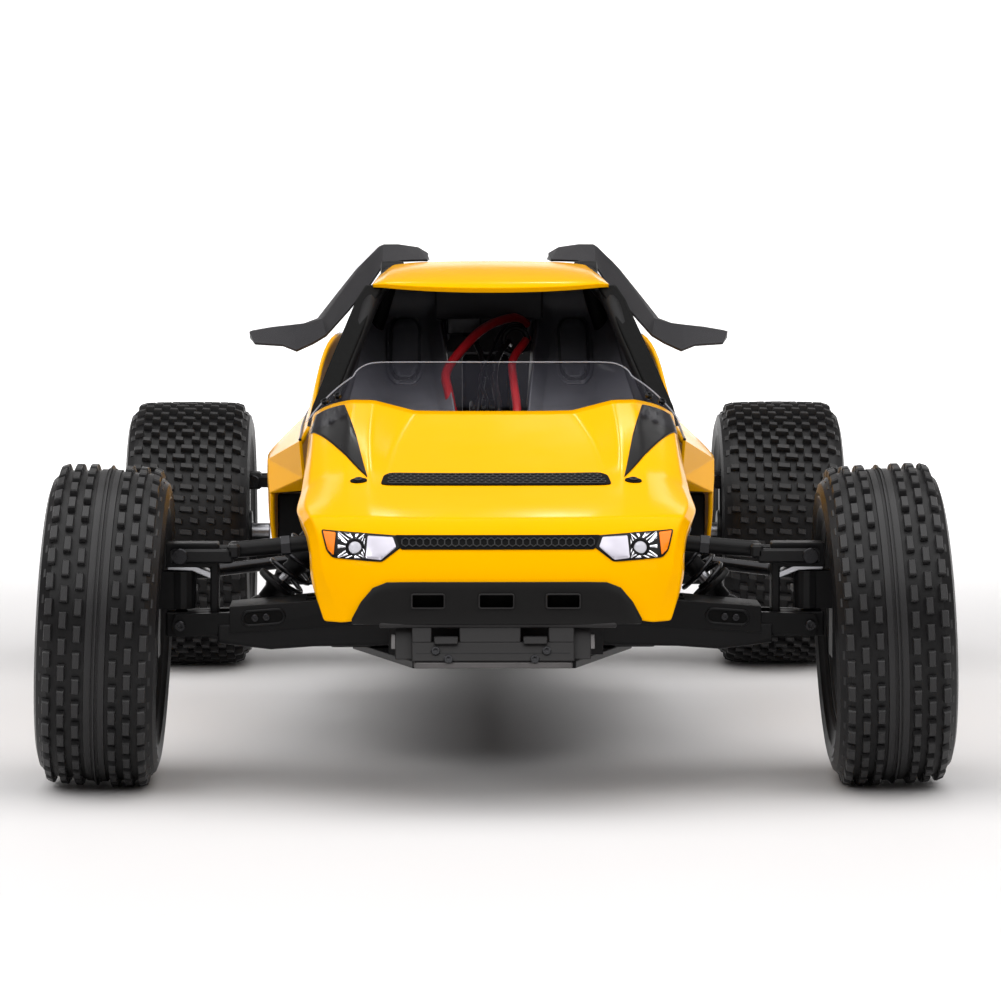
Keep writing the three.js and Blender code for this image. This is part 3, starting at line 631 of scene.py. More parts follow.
def front_tread(build, half):
    """Three rows of blocks on each side of a ribbed middle."""
    for i in range(FRONT_BLOCKS):
        for row, across in enumerate((9.4, 17.0, 24.6)):
            for side in (-1, 1):
                shift = (0.5 if row % 2 else 0) + (0.25 if side > 0 else 0)
                angle = 2 * math.pi * (i + shift) / FRONT_BLOCKS
                add_block(build, half, side * across, angle, 3.9, 8.8, BLOCK_HEIGHT)
    for low, high, lift in ((-5.6, 5.6, 1.0), (-2.2, -1.2, 1.6), (1.2, 2.2, 1.6), (-0.7, 0.7, 3.2)):
        ring = [(low, -0.5), (low + 0.4, lift), (high - 0.4, lift), (high, -0.5)]
        build.ring([(tread_level(half, a) + up, a) for a, up in ring], CENTRE, ACROSS, 96)


def rear_tread(build, half):
    """Narrow bars in staggered rows, some of them joined in pairs in the middle."""
    for i in range(REAR_BLOCKS):
        offset = 0 if i % 2 else 5.2
        for k in range(-4, 4):
            across = k * 10.4 + offset
            if abs(across) > half - 2.2:
                continue
            width = 8.4 if across == 0 or abs(across - 5.2) < 0.1 and i % 4 == 0 else 5.4
            add_block(build, half, across, 2 * math.pi * i / REAR_BLOCKS, width, 3.3, BLOCK_HEIGHT, shear=0.4)


def make_tyre(end, side, side_name):
    """Carcass with ribbed walls, tread and shoulder lugs."""
    h = TYRES[end]["half"]
    build = Build()
    outside = [(tread_level(h, a), a) for a in [h * k / 10 for k in range(-9, 10)]]
    wall = [(71.5, 1.0), (69.6, 0.4), (68.8, 0.9), (64.5, -0.6), (63.6, -0.1), (62.8, -1.0), (58.0, -3.4),
            (56.6, -2.6), (54.9, -4.2), (54.9, -8.0)]
    right = [(76.2, h - 0.4)] + [(r, h + off) for r, off in wall]
    left = [(r, -a) for r, a in right[::-1]]
    build.ring(left + outside + right, CENTRE, ACROSS, 96)
    (front_tread if end == "front" else rear_tread)(build, h)
    for s in (-1, 1):
        for i in range(LUGS):
            angle = 2 * math.pi * (i + 0.5) / LUGS
            rings = []
            for inner, outer, out in ((72.5, 79.0, -2.0), (73.2, 78.2, 0.3)):
                rings.append([
                    polar(s * (h + out - (2.6 if r > 76 else 0)), angle + t / r, r)
                    for r, t in ((inner, -2.2), (outer, -2.2), (outer, 2.2), (inner, 2.2))
                ])
            build.loft(rings)
    build.move(wheel_place(end, side))
    build.piece(f"{end}_tyre_tread_{side_name}", RUBBER, "tyre_rubber", f"{end}_wheel_{side_name}",
                sharp=32, replaces=[f"{end}_tyre_{side_name}"])


def make_rim(end, side, side_name):
    """Spoked rim with its bead ring, bolts and nut, and a stub axle at the rear."""
    h = TYRES[end]["half"] - 6
    dish = h - 10
    place = wheel_place(end, side)
    body = f"{end}_wheel_{side_name}"
    build = Build()
    barrel = [(51.0, -h + 3), (50.2, -h + 6), (50.2, dish - 4), (50.6, h - 3), (52, h), (54.6, h),
              (55.4, h + 1.2), (56.8, h + 1.4), (57.2, h - 0.2), (54.7, h - 1.4), (54.4, h - 7),
              (52.6, h - 9), (52.4, -h + 9), (54.4, -h + 7), (54.7, -h + 1.4), (57.2, -h + 0.2),
              (56.8, -h - 1.4), (52.6, -h - 1.2), (51.4, -h)]
    build.ring(barrel, CENTRE, ACROSS, 72)
    hub = [(5.6, dish - 14), (11.5, dish - 14), (12.5, dish - 6), (15, dish - 3), (15.5, dish + 1),
           (12.5, dish + 3.4), (9.5, dish + 3.6), (9.2, dish + 0.6), (5.6, dish + 0.5)]
    build.ring(hub, CENTRE, ACROSS, 48)
    for i in range(SPOKES):
        middle = 2 * math.pi * (i + 0.5) / SPOKES
        for lean in (-1, 1):
            rings = []
            for t in [k / 8 for k in range(9)]:
                r = 12.5 + t * 38.6
                spread = lean * (0.1 + 0.13 * t)
                width = 3.6 + 1.6 * t * t
                centre = dish + 0.2 + 3.2 * t - 2.0 * math.sin(math.pi * t)
                rings.append([polar(centre + v * 2.9, middle + spread + u * width / r, r)
                              for u, v in SPOKE_SECTION])
            build.loft(rings)
    build.move(place)
    build.piece(f"{end}_rim_spoked_{side_name}", RIM, body=body, replaces=[f"{end}_rim_{side_name}"])

    lock = Build()
    ring = [(51.2, h + 0.6), (51.4, h + 2.4), (52.2, h + 3.1), (56.2, h + 2.9), (57.0, h + 2.0),
            (56.8, h + 0.9)]
    lock.ring(ring, CENTRE, ACROSS, 72)
    lock.move(place)
    lock.piece(f"{end}_bead_ring_{side_name}", BLACK, body=body, sharp=40)

    bolts = Build()
    for i in range(RIM_BOLTS):
        bolts.screw(polar(h + 2.9, 2 * math.pi * i / RIM_BOLTS, 54.2), ACROSS, 1.35, 1.1)
    nut = [(3.0, dish + 1), (9.0, dish + 1), (9.6, dish + 1.8), (8.6, dish + 2.6), (7.0, dish + 2.8),
           (7.0, dish + 8), (6.2, dish + 9), (3.8, dish + 9), (3.6, dish + 3)]
    bolts.turned(nut, CENTRE, ACROSS, 36, hexagon=(4, 5, 6))
    bolts.move(place)
    bolts.piece(f"{end}_wheel_nut_{side_name}", STEEL, "steel", body)
    if end == "rear":
        track = TYRES[end]["x"]
        stub = Build()
        stub.turned([(0.01, 139.5), (5.6, 139.5), (6.1, 140.2), (6.1, track + dish - 10),
                     (5.2, track + dish - 9), (5.2, track + dish + 10), (0.01, track + dish + 10)],
                    (0, REAR_Y, AXLE_Z), (side, 0, 0), 28)
        stub.piece(f"rear_stub_axle_{side_name}", STEEL, "steel", body)


for side_name, side in SIDES:
    for end in ("front", "rear"):
        make_tyre(end, side, side_name)
        make_rim(end, side, side_name)

# ---------------------------------------------------------------- nose shell


def nose_row(behind, bend, half):
    """One row of the nose from points given as (x, z, extra distance back). bend curves it round."""
    return mirrored([(x, fy(behind + bend * (x / 100.0) ** 4 + back), z) for x, z, back in half])


# Rows of the nose: distance behind the front axle, bend, and half of the row.
NOSE_ROWS = [
    (-116, 10, [(0, 117.5, 0), (30, 117.5, 0), (50, 117.3, 0), (59, 115, 0), (65, 108, 0), (69, 99, 0),
                (79, 97.8, 2), (88, 98, 5), (91.5, 107, 12)]),
    (-115.5, 12, [(0, 123, 0), (30, 123, 0), (50, 123, 0), (62, 122, 0), (70, 118, 0), (76, 109, 0),
                  (83, 106, 2), (91, 107, 5), (94, 114, 12)]),
    (-114, 14, [(0, 129, 0), (30, 129, 0), (50, 129, 0), (64, 128.7, 0), (74, 127.5, 0), (82, 125.5, 0),
                (89, 123.5, 1), (94, 122, 4), (95.5, 121, 12)]),
    (-109.5, 17, [(0, 142, 0), (30, 142, 0), (50, 142, 0), (64, 142, 0), (75, 142.3, 0), (84, 142.6, 0),
                  (91, 142.4, 1), (95.5, 139, 5), (96, 131, 14)]),
    (-100, 19, [(0, 149.5, 0), (30, 149.5, 0), (50, 149.7, 0), (65, 150, 0), (76, 150, 0), (87, 150, 0),
                (95.5, 149.5, 0), (99.5, 145, 5), (98, 137, 14)]),
    (-84, 19, [(0, 153.8, 0), (30, 153.8, 0), (52, 154, 0), (66, 154.3, 0), (77, 154.4, 0), (89, 154.3, 0),
               (98.5, 153, 0), (103.2, 149.5, 4), (100.5, 141, 10)]),
    (-60, 12, [(0, 158.7, 0), (30, 158.7, 0), (54, 158.9, 0), (66, 159.4, 0), (78, 159.4, 0), (90, 158.4, 0),
               (99.5, 155.5, 0), (104, 150.5, 0), (102, 142, 4)]),
    (-20, 4, [(0, 167, 0), (30, 167, 0), (56, 167.4, 0), (66, 169, 0), (79, 168.4, 0), (90, 166, 0),
              (98, 161, 0), (102.3, 156, 0), (101, 151, 0)]),
    (35, 0, [(0, 179, 0), (30, 179, 0), (55, 179.6, 0), (66, 184.8, 0), (79, 185.2, 0), (90, 183, 0),
             (97.5, 179, 0), (101, 169, 0), (101, 155, 0)]),
    (88, 0, [(0, 193, 0), (25, 193, 0), (43, 193.3, 0), (65, 199, 0), (77, 199.3, 0), (90, 197, 0),
             (98.5, 191.5, 0), (101, 180, 0), (101, 159, 0)]),
]
NOSE_CREASES = [(None, (5, 11), 0.9), (None, (6, 10), 0.75), (None, (4, 12), 0.6), (4, None, 0.8),
                (None, (2, 14), 0.65), (None, (1, 15), 0.5), (7, None, 0.5), (2, None, 0.3)]
nose = skin("nose_shell", [nose_row(*row) for row in NOSE_ROWS], YELLOW,
            creases=NOSE_CREASES, levels=3, replaces=["nose_panel"], inner=SHADED_INNER_YELLOW)
nose_surface = surface_of(nose)


def front_patch(name, outline, mat, side=1, corner=1.5, lift=0.5, thickness=0.7,
                cuts=3):
    """A trim on the nose's front, given as (x, z) points."""
    points = rounded_outline([(side * x, AHEAD_OF_NOSE, z) for x, z in outline], corner)
    laid_patch(name, points, nose_surface, BACKWARDS, mat, lift, thickness, cuts)


def top_patch(name, outline, mat, side=1, corner=1.5, lift=0.5, thickness=0.7, cuts=3):
    """A trim on the nose's top, given as (x, distance behind the front axle) points."""
    points = rounded_outline([(side * x, fy(d), ABOVE_NOSE) for x, d in outline], corner)
    laid_patch(name, points, nose_surface, DOWN, mat, lift, thickness, cuts)


def honeycomb(name, inside, to_point, span_u, span_v, pitch, wire, way):
    """Hexagonal wire mesh over a region, laid on the nose along a direction."""
    build = Build()
    step_v = pitch * math.sqrt(3) / 2
    side_length = pitch / math.sqrt(3)
    done = set()
    rows = int((span_v[1] - span_v[0]) / step_v) + 2
    columns = int((span_u[1] - span_u[0]) / pitch) + 2
    for i in range(rows):
        for j in range(columns):
            cu = span_u[0] + (j + (0.5 if i % 2 else 0)) * pitch
            cv = span_v[0] + i * step_v
            angles = [math.pi * k / 3 for k in range(6)]
            corners = [(cu + side_length * math.sin(a), cv + side_length * math.cos(a)) for a in angles]
            for a, b in zip(corners, corners[1:] + corners[:1]):
                key = (round((a[0] + b[0]) * 5), round((a[1] + b[1]) * 5))
                if key in done or not (inside(*a) and inside(*b)):
                    continue
                done.add(key)
                ends = []
                for u, v in (a, b):
                    hit, normal = probe(nose_surface, to_point(u, v), way, RAY_LEAD)
                    if hit is None:
                        break
                    ends.append(hit / MM + normal)
                if len(ends) == 2:
                    build.tube(ends, wire, 5)
    build.piece(name, MESH_BLACK, sharp=60)


# The upper intake, given from above.
VENT = [(-55, -22.5), (55, -22.5), (58.5, -28), (60, -44), (-60, -44), (-58.5, -28)]
# The dark patch under the mesh is painted shade of the intake's opening.
top_patch("hood_vent", VENT, DEEP_BLACK_AND_SHADE, corner=3, lift=0.35, cuts=4)


def in_vent(u, v):
    """Whether a point lies in the upper intake."""
    return -43 < v < -23.5 and abs(u) < 58 - (v + 44) * 0.1


def above_nose(u, v):
    """Where a ray down onto the nose starts."""
    return u, fy(v), ABOVE_NOSE


honeycomb("hood_vent_mesh", in_vent, above_nose, (-60, 60), (-44, -22), 3.9, 0.36, DOWN)

# The band between the headlights, given from the front.
BAND = [(-52, 141.6), (52, 141.6), (49, 134.8), (-49, 134.8)]
# The dark patch under the mesh is painted shade of the recessed slot.
front_patch("nose_band", BAND, DEEP_BLACK_AND_SHADE, corner=1, lift=0.35, cuts=4)


def in_band(u, v):
    """Whether a point lies in the band."""
    return abs(u) < 50 and 135.2 < v < 141.2


def before_nose(u, v):
    """Where a ray back onto the nose starts."""
    return u, AHEAD_OF_NOSE, v


honeycomb("nose_band_mesh", in_band, before_nose, (-52, 52), (135, 142), 3.6, 0.34, BACKWARDS)

HEADLIGHT = [(50.5, 141.4), (70, 142.6), (89.5, 143.6), (86.6, 133.4), (83.6, 130.2), (58.5, 128.6),
             (48.5, 136.2)]
REFLECTOR = [(53, 140.4), (65.6, 141), (66.6, 130.2), (59, 129.4), (51.2, 135.8)]
AMBER_WEDGE = [(81.8, 142.2), (88.2, 142.7), (85.6, 133.8), (82.8, 131.4)]
TRIANGLE = [(81, 80), (96.5, 80), (98.5, 57), (67, -33), (74, 30)]
LAMP_AT = (72.2, 135.6)
RAYS = 15
RAY_NEAR = 4.4
RAY_FAR = 13.0


def lamp_ray(i):
    """A wedge pointing away from the lamp, cut off at the edges of the lamp's field."""
    angle = 2 * math.pi * i / RAYS
    half = 0.07 + 0.05 * (i % 2)
    wedge = []
    for r, a in ((RAY_NEAR, angle - half), (RAY_NEAR, angle + half), (RAY_FAR, angle + half),
                 (RAY_FAR, angle - half)):
        u = min(max(LAMP_AT[0] + r * math.cos(a), 67.2), 80.6)
        v = min(max(LAMP_AT[1] + r * math.sin(a), 130.2), 142.0 + (u - 70) * 0.05)
        wedge.append((u, v))
    return wedge


def outline_size(outline):
    """Twice the area of an outline."""
    return abs(sum(a[0] * b[1] - b[0] * a[1] for a, b in zip(outline, outline[1:] + outline[:1])))


for side_name, side in SIDES:
    front_patch(f"headlight_frame_{side_name}", HEADLIGHT, BLACK_GLOSS, side=side, lift=0.25)
    front_patch(f"headlight_facet_{side_name}", REFLECTOR, PEARL, side, corner=0.8, lift=0.75)
    front_patch(f"headlight_amber_{side_name}", AMBER_WEDGE, AMBER, side, corner=0.6,
                lift=0.85)
    top_patch(f"hood_triangle_{side_name}", TRIANGLE, BLACK_GLOSS, side=side, corner=1.2, lift=0.3, cuts=4)
    for i in range(RAYS):
        wedge = lamp_ray(i)
        if outline_size(wedge) >= 1.0:
            front_patch(f"headlight_ray_{side_name}_{i:02d}", wedge, CHROME, side, corner=0.05,
                        lift=0.75, thickness=0.5, cuts=1)
    hit, _ = probe(nose_surface, (side * LAMP_AT[0], AHEAD_OF_NOSE, LAMP_AT[1]), BACKWARDS)
    lamp = Build()
    bezel = [(3.1, 0.6), (4.9, 0.6), (4.9, 1.6), (4.3, 2.1), (3.5, 2.0), (3.1, 1.4)]
    lamp.ring(bezel, hit / MM, FORWARDS, 32)
    lamp.piece(f"lamp_ring_{side_name}", BLACK_GLOSS, sharp=40)
    lens = Build()
    glass = [(0.01, 0.8), (3.2, 0.8), (3.2, 1.6), (2.4, 2.1), (1.2, 2.4), (0.01, 2.5)]
    lens.turned(glass, hit / MM, FORWARDS, 32)
    lens.piece(f"lamp_lens_{side_name}", LAMP, "clear_sheet", sharp=50)

# The lower grille panel: a grid of points with three of its cells left open as slots.
GRILLE_X = (-73.5, -69, -63, -56, -43.5, -27, -9.5, 8, 24.5, 41.5, 55, 62, 68, 72.5)
GRILLE_TOP = (99.5, 108.5, 115.8, 118.6, 118.8, 118.8, 118.8, 118.8, 118.8, 118.8, 118.6, 115.8, 108.5, 99.5)
GRILLE_ROWS = (0, 0.39, 0.72, 1)
GRILLE_FOOT = 97.3
SLOT_ROW = 1
SLOT_CELLS = (4, 6, 8)
GRILLE_BOW = 1.6            # how far the panel's foot stands in front of its top


def make_grille():
    """The panel, a thin rim round each slot, the lip below and a dark box behind the slots, painted shade
    seen through them.
    """
    points = []
    for share in GRILLE_ROWS:
        for x, top in zip(GRILLE_X, GRILLE_TOP):
            behind = -116.0 - GRILLE_BOW * (1 - share) + 10 * (x / 100) ** 4
            points.append(spot(x, behind, GRILLE_FOOT + (top - GRILLE_FOOT) * share))
    width = len(GRILLE_X)
    faces = grid_faces(len(GRILLE_ROWS), width, [(SLOT_ROW, j) for j in SLOT_CELLS])
    panel = place_object("lower_grille", [p * MM for p in points], faces, [PANEL])
    smooth(panel.data, 30)
    thicken(panel, 2.6)
    soften(panel, 0.4)
    attach(panel, "chassis")

    rims = Build()
    for j in SLOT_CELLS:
        a, b = points[SLOT_ROW * width + j], points[(SLOT_ROW + 1) * width + j + 1]
        y = min(a.y, b.y) - 1.7
        corners = [(a.x, y, a.z), (b.x, y, a.z), (b.x, y, b.z), (a.x, y, b.z)]
        rims.tube(rounded_outline(corners, 1.2), 0.45, 8, closed=True)
    rims.box((-60, fy(-118.2), 95.6), (60, fy(-109), 98.4), 0.7)
    rims.piece("grille_trim", GREY, "grey_plastic", sharp=50)
    # A dark box behind the slots: painted shade seen through them.
    shade_box = Build()
    shade_box.box((-60, fy(-108), 99), (60, fy(-106.5), 117))
    shade_box.piece("grille_shade_box", DEEP_BLACK_AND_SHADE, sharp=35)


make_grille()

# Hood screws in oval wells.
SCREW_AT = (71.5, -38.0)
WELL = [(SCREW_AT[0] + 4.4 * math.cos(math.pi * k / 8), SCREW_AT[1] + 3.6 * math.sin(math.pi * k / 8))
        for k in range(16)]
screws = Build()
for side_name, side in SIDES:
    # Each dark oval is painted shade of the screw's recess.
    top_patch(f"screw_well_{side_name}", WELL, DEEP_BLACK_AND_SHADE, side=side, corner=0.3, lift=0.35, cuts=2)
    hit, normal = probe(nose_surface, (side * SCREW_AT[0], fy(SCREW_AT[1]), ABOVE_NOSE), DOWN)
    screws.screw(hit / MM + normal * 0.5, normal, 2.4, 1.2)
screws.piece("hood_screws", DARK_STEEL, "steel")

# ---------------------------------------------------------------- windscreen, roof, fins


SCREEN_BASE = [(0, 92, 195.5), (25, 92, 195.5), (43, 91.8, 196.0), (64, 90, 201.4), (80, 83, 201.0),
               (93, 75, 197.2), (101.5, 68, 188.5)]
SCREEN_TOP = [(0, 123, 218), (30, 123, 218), (52, 123, 218), (64, 122.4, 217.8), (70, 121, 216.6),
              (74.5, 118.5, 214), (77, 115.5, 210.5)]
SCREEN_BULGE = 2.5


def screen_row(t):
    """A row of the windscreen, a share t of the way up."""
    bulge = SCREEN_BULGE * math.sin(math.pi * t)
    return mirrored([
        (x0 + (x1 - x0) * t, fy(d0 + (d1 - d0) * t - bulge), z0 + (z1 - z0) * t + bulge)
        for (x0, d0, z0), (x1, d1, z1) in zip(SCREEN_BASE, SCREEN_TOP)
    ])


screen = [screen_row(k / 4) for k in range(5)]
skin("clear_windscreen", screen, CLEAR, thickness=1.3, replaces=["windscreen"])
trim = Build()
for run in (screen[-1], [row[0] for row in screen], [row[-1] for row in screen]):
    trim.tube(curve_through(run, 4), 0.4, 8)
trim.piece("windscreen_edge", EDGE, "clear_sheet", sharp=60)
TAB = [(100, 84), (99.5, 58), (90, 49), (79, 60), (74.5, 74), (84, 84)]
for side_name, side in SIDES:
    top_patch(f"screen_tab_{side_name}", TAB, CLEAR, side, corner=2, lift=1.6, thickness=1.0)
screen_bolts = Build()
for side_name, side in SIDES:
    for x, behind, z in ((84.5, 78.5, 201.5), (91.5, 73.5, 198.5)):
        screen_bolts.screw(spot(side * x, behind, z), (side * 0.3, -0.45, 0.85), 2.1, 1.8)
screen_bolts.piece("windscreen_bolts", DARK_STEEL, "steel")

ROOF_ROWS = [
    [(0, 196.5, 253.6), (30, 197.5, 254.2), (50, 200, 255.4), (61, 203, 256.4), (67, 205.5, 256.6)],
    [(0, 196, 256.6), (30, 197, 257), (50, 199.5, 258), (61, 202.5, 258.8), (67.5, 205, 258.4)],
    [(0, 202, 260), (30, 203, 260.2), (50, 205, 260.6), (61, 207, 260.4), (67, 209, 258.8)],
    [(0, 230, 264.6), (30, 230, 264.5), (50, 230, 264), (60, 230, 262.8), (66, 230, 260)],
    [(0, 262, 267.8), (30, 262, 267.6), (48, 262, 266.8), (58, 262, 265.4), (63.5, 262, 262)],
    [(0, 294, 269.2), (30, 294, 269), (46, 294, 268.3), (56, 294, 267), (62, 294, 264)],
]
skin("roof_shell", [mirrored(spots(half)) for half in ROOF_ROWS], YELLOW,
     thickness=2.0, creases=[(1, None, 0.6), (None, (1, 7), 0.6)], levels=3,
     replaces=["roof_panel"], inner=LINER)

# Stations along a fin: its front edge, crease and back edge, as (x, distance behind the front axle, z).
FIN_STATIONS = [
    ((36.5, 302, 270), (36, 345, 272.5), (36.5, 352, 272)),
    ((41, 300, 270), (42, 340, 276.2), (43, 368, 273.5)),
    ((52, 300, 269.6), (54, 338, 278), (55, 372, 275)),
    ((63, 300, 266.5), (63, 336, 278), (66, 372, 276)),
    ((70, 300, 256), (74, 332, 268), (80, 368, 262)),
    ((83, 300, 240.5), (87, 328, 251), (92, 362, 247)),
    ((96.5, 300, 225.5), (99, 326, 234), (103, 356, 233)),
    ((104, 300, 221), (108, 325, 231.5), (111, 355, 230)),
    ((114, 300, 216.4), (117, 325, 230.2), (120, 354, 229)),
    ((122, 301, 219.6), (127, 325, 229), (130, 352, 228)),
    ((139, 304, 220.6), (143, 324, 226.4), (142, 350, 226)),
]


# Each fin is a faceted plate, thin at both long edges.
for side_name, side in SIDES:
    fin = Build()
    rings = []
    for front, middle, back in FIN_STATIONS:
        low_middle = (middle[0] - 1.2, middle[1], middle[2] - 4.2)
        low_front = (front[0] - 0.3, front[1] + 1.5, front[2] - 1.4)
        low_back = (back[0] - 0.3, back[1] - 1.5, back[2] - 1.6)
        rings.append(spots((front, middle, back, low_back, low_middle, low_front), side))
    fin.loft(rings)
    fin.piece(f"roof_fin_shell_{side_name}", FIN, "grey_plastic", sharp=18, bevel=0.7,
              replaces=[f"roof_fin_{side_name}"])

# ---------------------------------------------------------------- side pods

POD_ROWS = [
    [(102, 128, 181), (104.5, 128, 179), (106.5, 128, 174), (118, 158, 165), (126, 184, 159.6),
     (126.3, 176, 150), (124.5, 166, 142), (125, 171, 126), (123.5, 176, 110), (118, 178, 104),
     (107, 178, 98)],
    [(101.5, 158, 187), (104, 156, 183), (106.5, 152, 175), (119, 176, 165.4), (127.4, 198, 159.8),
     (127.6, 190, 150), (126.5, 184, 142), (126.6, 188, 126), (124.5, 192, 110), (118, 192, 103),
     (107, 192, 97.5)],
    [(100.5, 205, 200), (103.5, 205, 190), (107, 205, 177.5), (122, 212, 166), (128.5, 218, 159.6),
     (128.5, 216, 150), (128.2, 214, 142), (128, 216, 126), (125.5, 218, 109), (118, 218, 102),
     (107, 218, 97)],
    [(97.5, 260, 220), (101, 260, 203), (106, 260, 180.5), (122, 260, 167), (128.5, 260, 159.5),
     (128.5, 260, 150), (128.3, 260, 142), (128, 260, 126), (125.5, 260, 108), (118, 260, 101.5),
     (107, 260, 97)],
    [(89, 318, 229.5), (94.5, 328, 210), (103, 330, 184), (119, 330, 168), (126.5, 330, 159.5),
     (126.5, 330, 150), (126.3, 330, 142), (126, 330, 127), (123.5, 330, 110), (116, 330, 103),
     (106, 330, 98.5)],
    [(80, 380, 219), (88, 385, 203), (97, 385, 181), (111, 385, 166.5), (119.5, 385, 158.5), (120, 385, 150),
     (119.8, 385, 142), (119.5, 385, 129), (117, 385, 113), (110, 385, 106), (102, 385, 100.5)],
    [(75, 430, 201), (82, 430, 189), (91, 430, 175.5), (102, 430, 164), (110.5, 430, 157), (112, 430, 149),
     (111.9, 430, 142), (111.5, 430, 131), (109.5, 430, 117), (104, 430, 109), (98, 430, 102.5)],
]
CHEEK = [(106.5, 128, 174.2), (126, 184, 160), (104.6, 126, 153.8), (124.5, 166, 142), (103.5, 142, 146)]
CHEEK_FACES = [[0, 2, 1], [2, 3, 1], [2, 4, 3]]
for side_name, side in SIDES:
    rows = [spots(half, side) for half in POD_ROWS]
    pod = skin(f"side_pod_shell_{side_name}", rows, YELLOW,
               creases=[(None, (2, 4), 0.8), (None, (6, 8), 0.6)], replaces=[f"side_pod_{side_name}"],
               inner=SHADED_INNER_YELLOW)
    cheek_points = [p * MM for p in spots(CHEEK, side)]
    cheek = place_object(f"side_pod_cheek_{side_name}", cheek_points, CHEEK_FACES, [YELLOW])
    thicken(cheek, 2.0)
    soften(cheek, 0.5, angle=15)
    attach(cheek, "chassis")
    seam = Build()
    seam.tube(curve_through([row[2] + Vector((side * 0.4, 0, 0.6)) for row in rows], 5), 0.9, 8)
    seam.piece(f"side_pod_bead_{side_name}", BLACK_GLOSS, sharp=60)
    # black guard strip along the pod's foot, on two brackets from the cage
    guard = Build()
    guard.side_box(side, (92, 122), (fy(135), fy(420)), (93, 99), 1.0)
    guard.side_box(side, (96, 121), (fy(135), fy(420)), (99, 101.5), 1.0)
    for behind in (175, 345):
        guard.side_box(side, (88, 121), (fy(behind), fy(behind + 12)), (95, 141), 1.0)
    guard.piece(f"side_guard_{side_name}", BLACK, bevel=0.4)
    pod_surface = surface_of(pod)
    louvre = Build()
    for behind in (262, 279, 296, 313, 330):
        ends = []
        for d, z in ((behind, 150), (behind + 9, 126)):
            hit, _ = probe(pod_surface, spot(side * 200, d, z), (-side, 0, 0))
            if hit:
                ends.append(hit / MM + Vector((side * 0.1, 0, 0)))
        if len(ends) == 2:
            louvre.tube([ends[0], ends[0].lerp(ends[1], 0.5), ends[1]], [1.6, 2.3, 1.6], 10)
    louvre.piece(f"side_pod_louvres_{side_name}", BLACK, sharp=50)

# ---------------------------------------------------------------- cage, cockpit and what shows through it

# Windscreen pillars: places along them, and their section as (x, distance back).
PILLAR = [(96.5, 101, 184), (93.5, 108, 195), (84, 148, 219), (71, 203, 250), (66, 214, 257.5)]
PILLAR_SECTION = ((-5.6, -4), (-4.4, -6.5), (4.2, -6.5), (5.6, -4), (5.6, 7), (-5.6, 7))
pillars = Build()
for s in (-1, 1):
    pillars.loft([spots([(x + u, d + v, z) for u, v in PILLAR_SECTION], s) for x, d, z in PILLAR])
pillars.piece("pillars", DEEP_BLACK_AND_SHADE, bevel=0.6)
LINER_ROWS = [
    [(91, 106, 190), (88, 106, 187), (84, 108, 183)],
    [(84, 148, 216), (83, 150, 206), (81, 152, 194)],
    [(70, 203, 252), (75, 205, 230), (78, 208, 206)],
    [(63, 260, 262), (70, 260, 242), (75, 260, 222)],
    [(58, 300, 264), (66, 303, 250), (72, 305, 236)],
    [(56, 312, 264), (62, 318, 254), (70, 322, 243)],
]
for side_name, side in SIDES:
    skin(f"cockpit_liner_{side_name}", [spots(row, side) for row in LINER_ROWS], LINER,
         thickness=1.8, offset=0)

# Cage tubes, as (x, distance behind the front axle, z): the ones on both sides, then the cross bars.
SIDE_TUBES = [
    [(86, 112, 64), (92, 106, 188), (68, 203, 250), (57, 300, 262.5), (46, 430, 226), (50, 512, 146)],
    [(89, 112, 168), (92, 330, 150), (50, 505, 156)],
    [(90, 330, 64), (92, 330, 150), (57, 300, 262)],
]
CROSS_BARS = [(88, 112, 150), (56, 300, 262), (46, 430, 226)]
CLAMP_PROFILE = [(4.6, -7), (7.0, -6.4), (7.2, -3), (7.2, 3), (7.0, 6.4), (4.6, 7)]
CLAMPS = [((92, 330, 150), BACKWARDS), ((46, 430, 226), ACROSS), ((57, 300, 262), ACROSS)]
cage = Build()
for s in (-1, 1):
    for path in SIDE_TUBES:
        cage.tube(rounded_path(spots(path, s)), 5.0, 16)
for x, behind, z in CROSS_BARS:
    cage.tube([spot(-x, behind, z), spot(x, behind, z)], 5.0, 16)
cage.box((-90, fy(104), 61.3), (90, fy(120), 67), 1)
cage.box((-94, fy(322), 61.3), (94, fy(338), 67), 1)
cage.piece("tube_cage", BLACK, sharp=40, replaces=["roll_cage"])
clamps = Build()
for s in (-1, 1):
    for (x, behind, z), way in CLAMPS:
        clamps.turned(CLAMP_PROFILE, spot(s * x, behind, z), way, 20)
clamps.piece("cage_joints", BLACK, sharp=40)

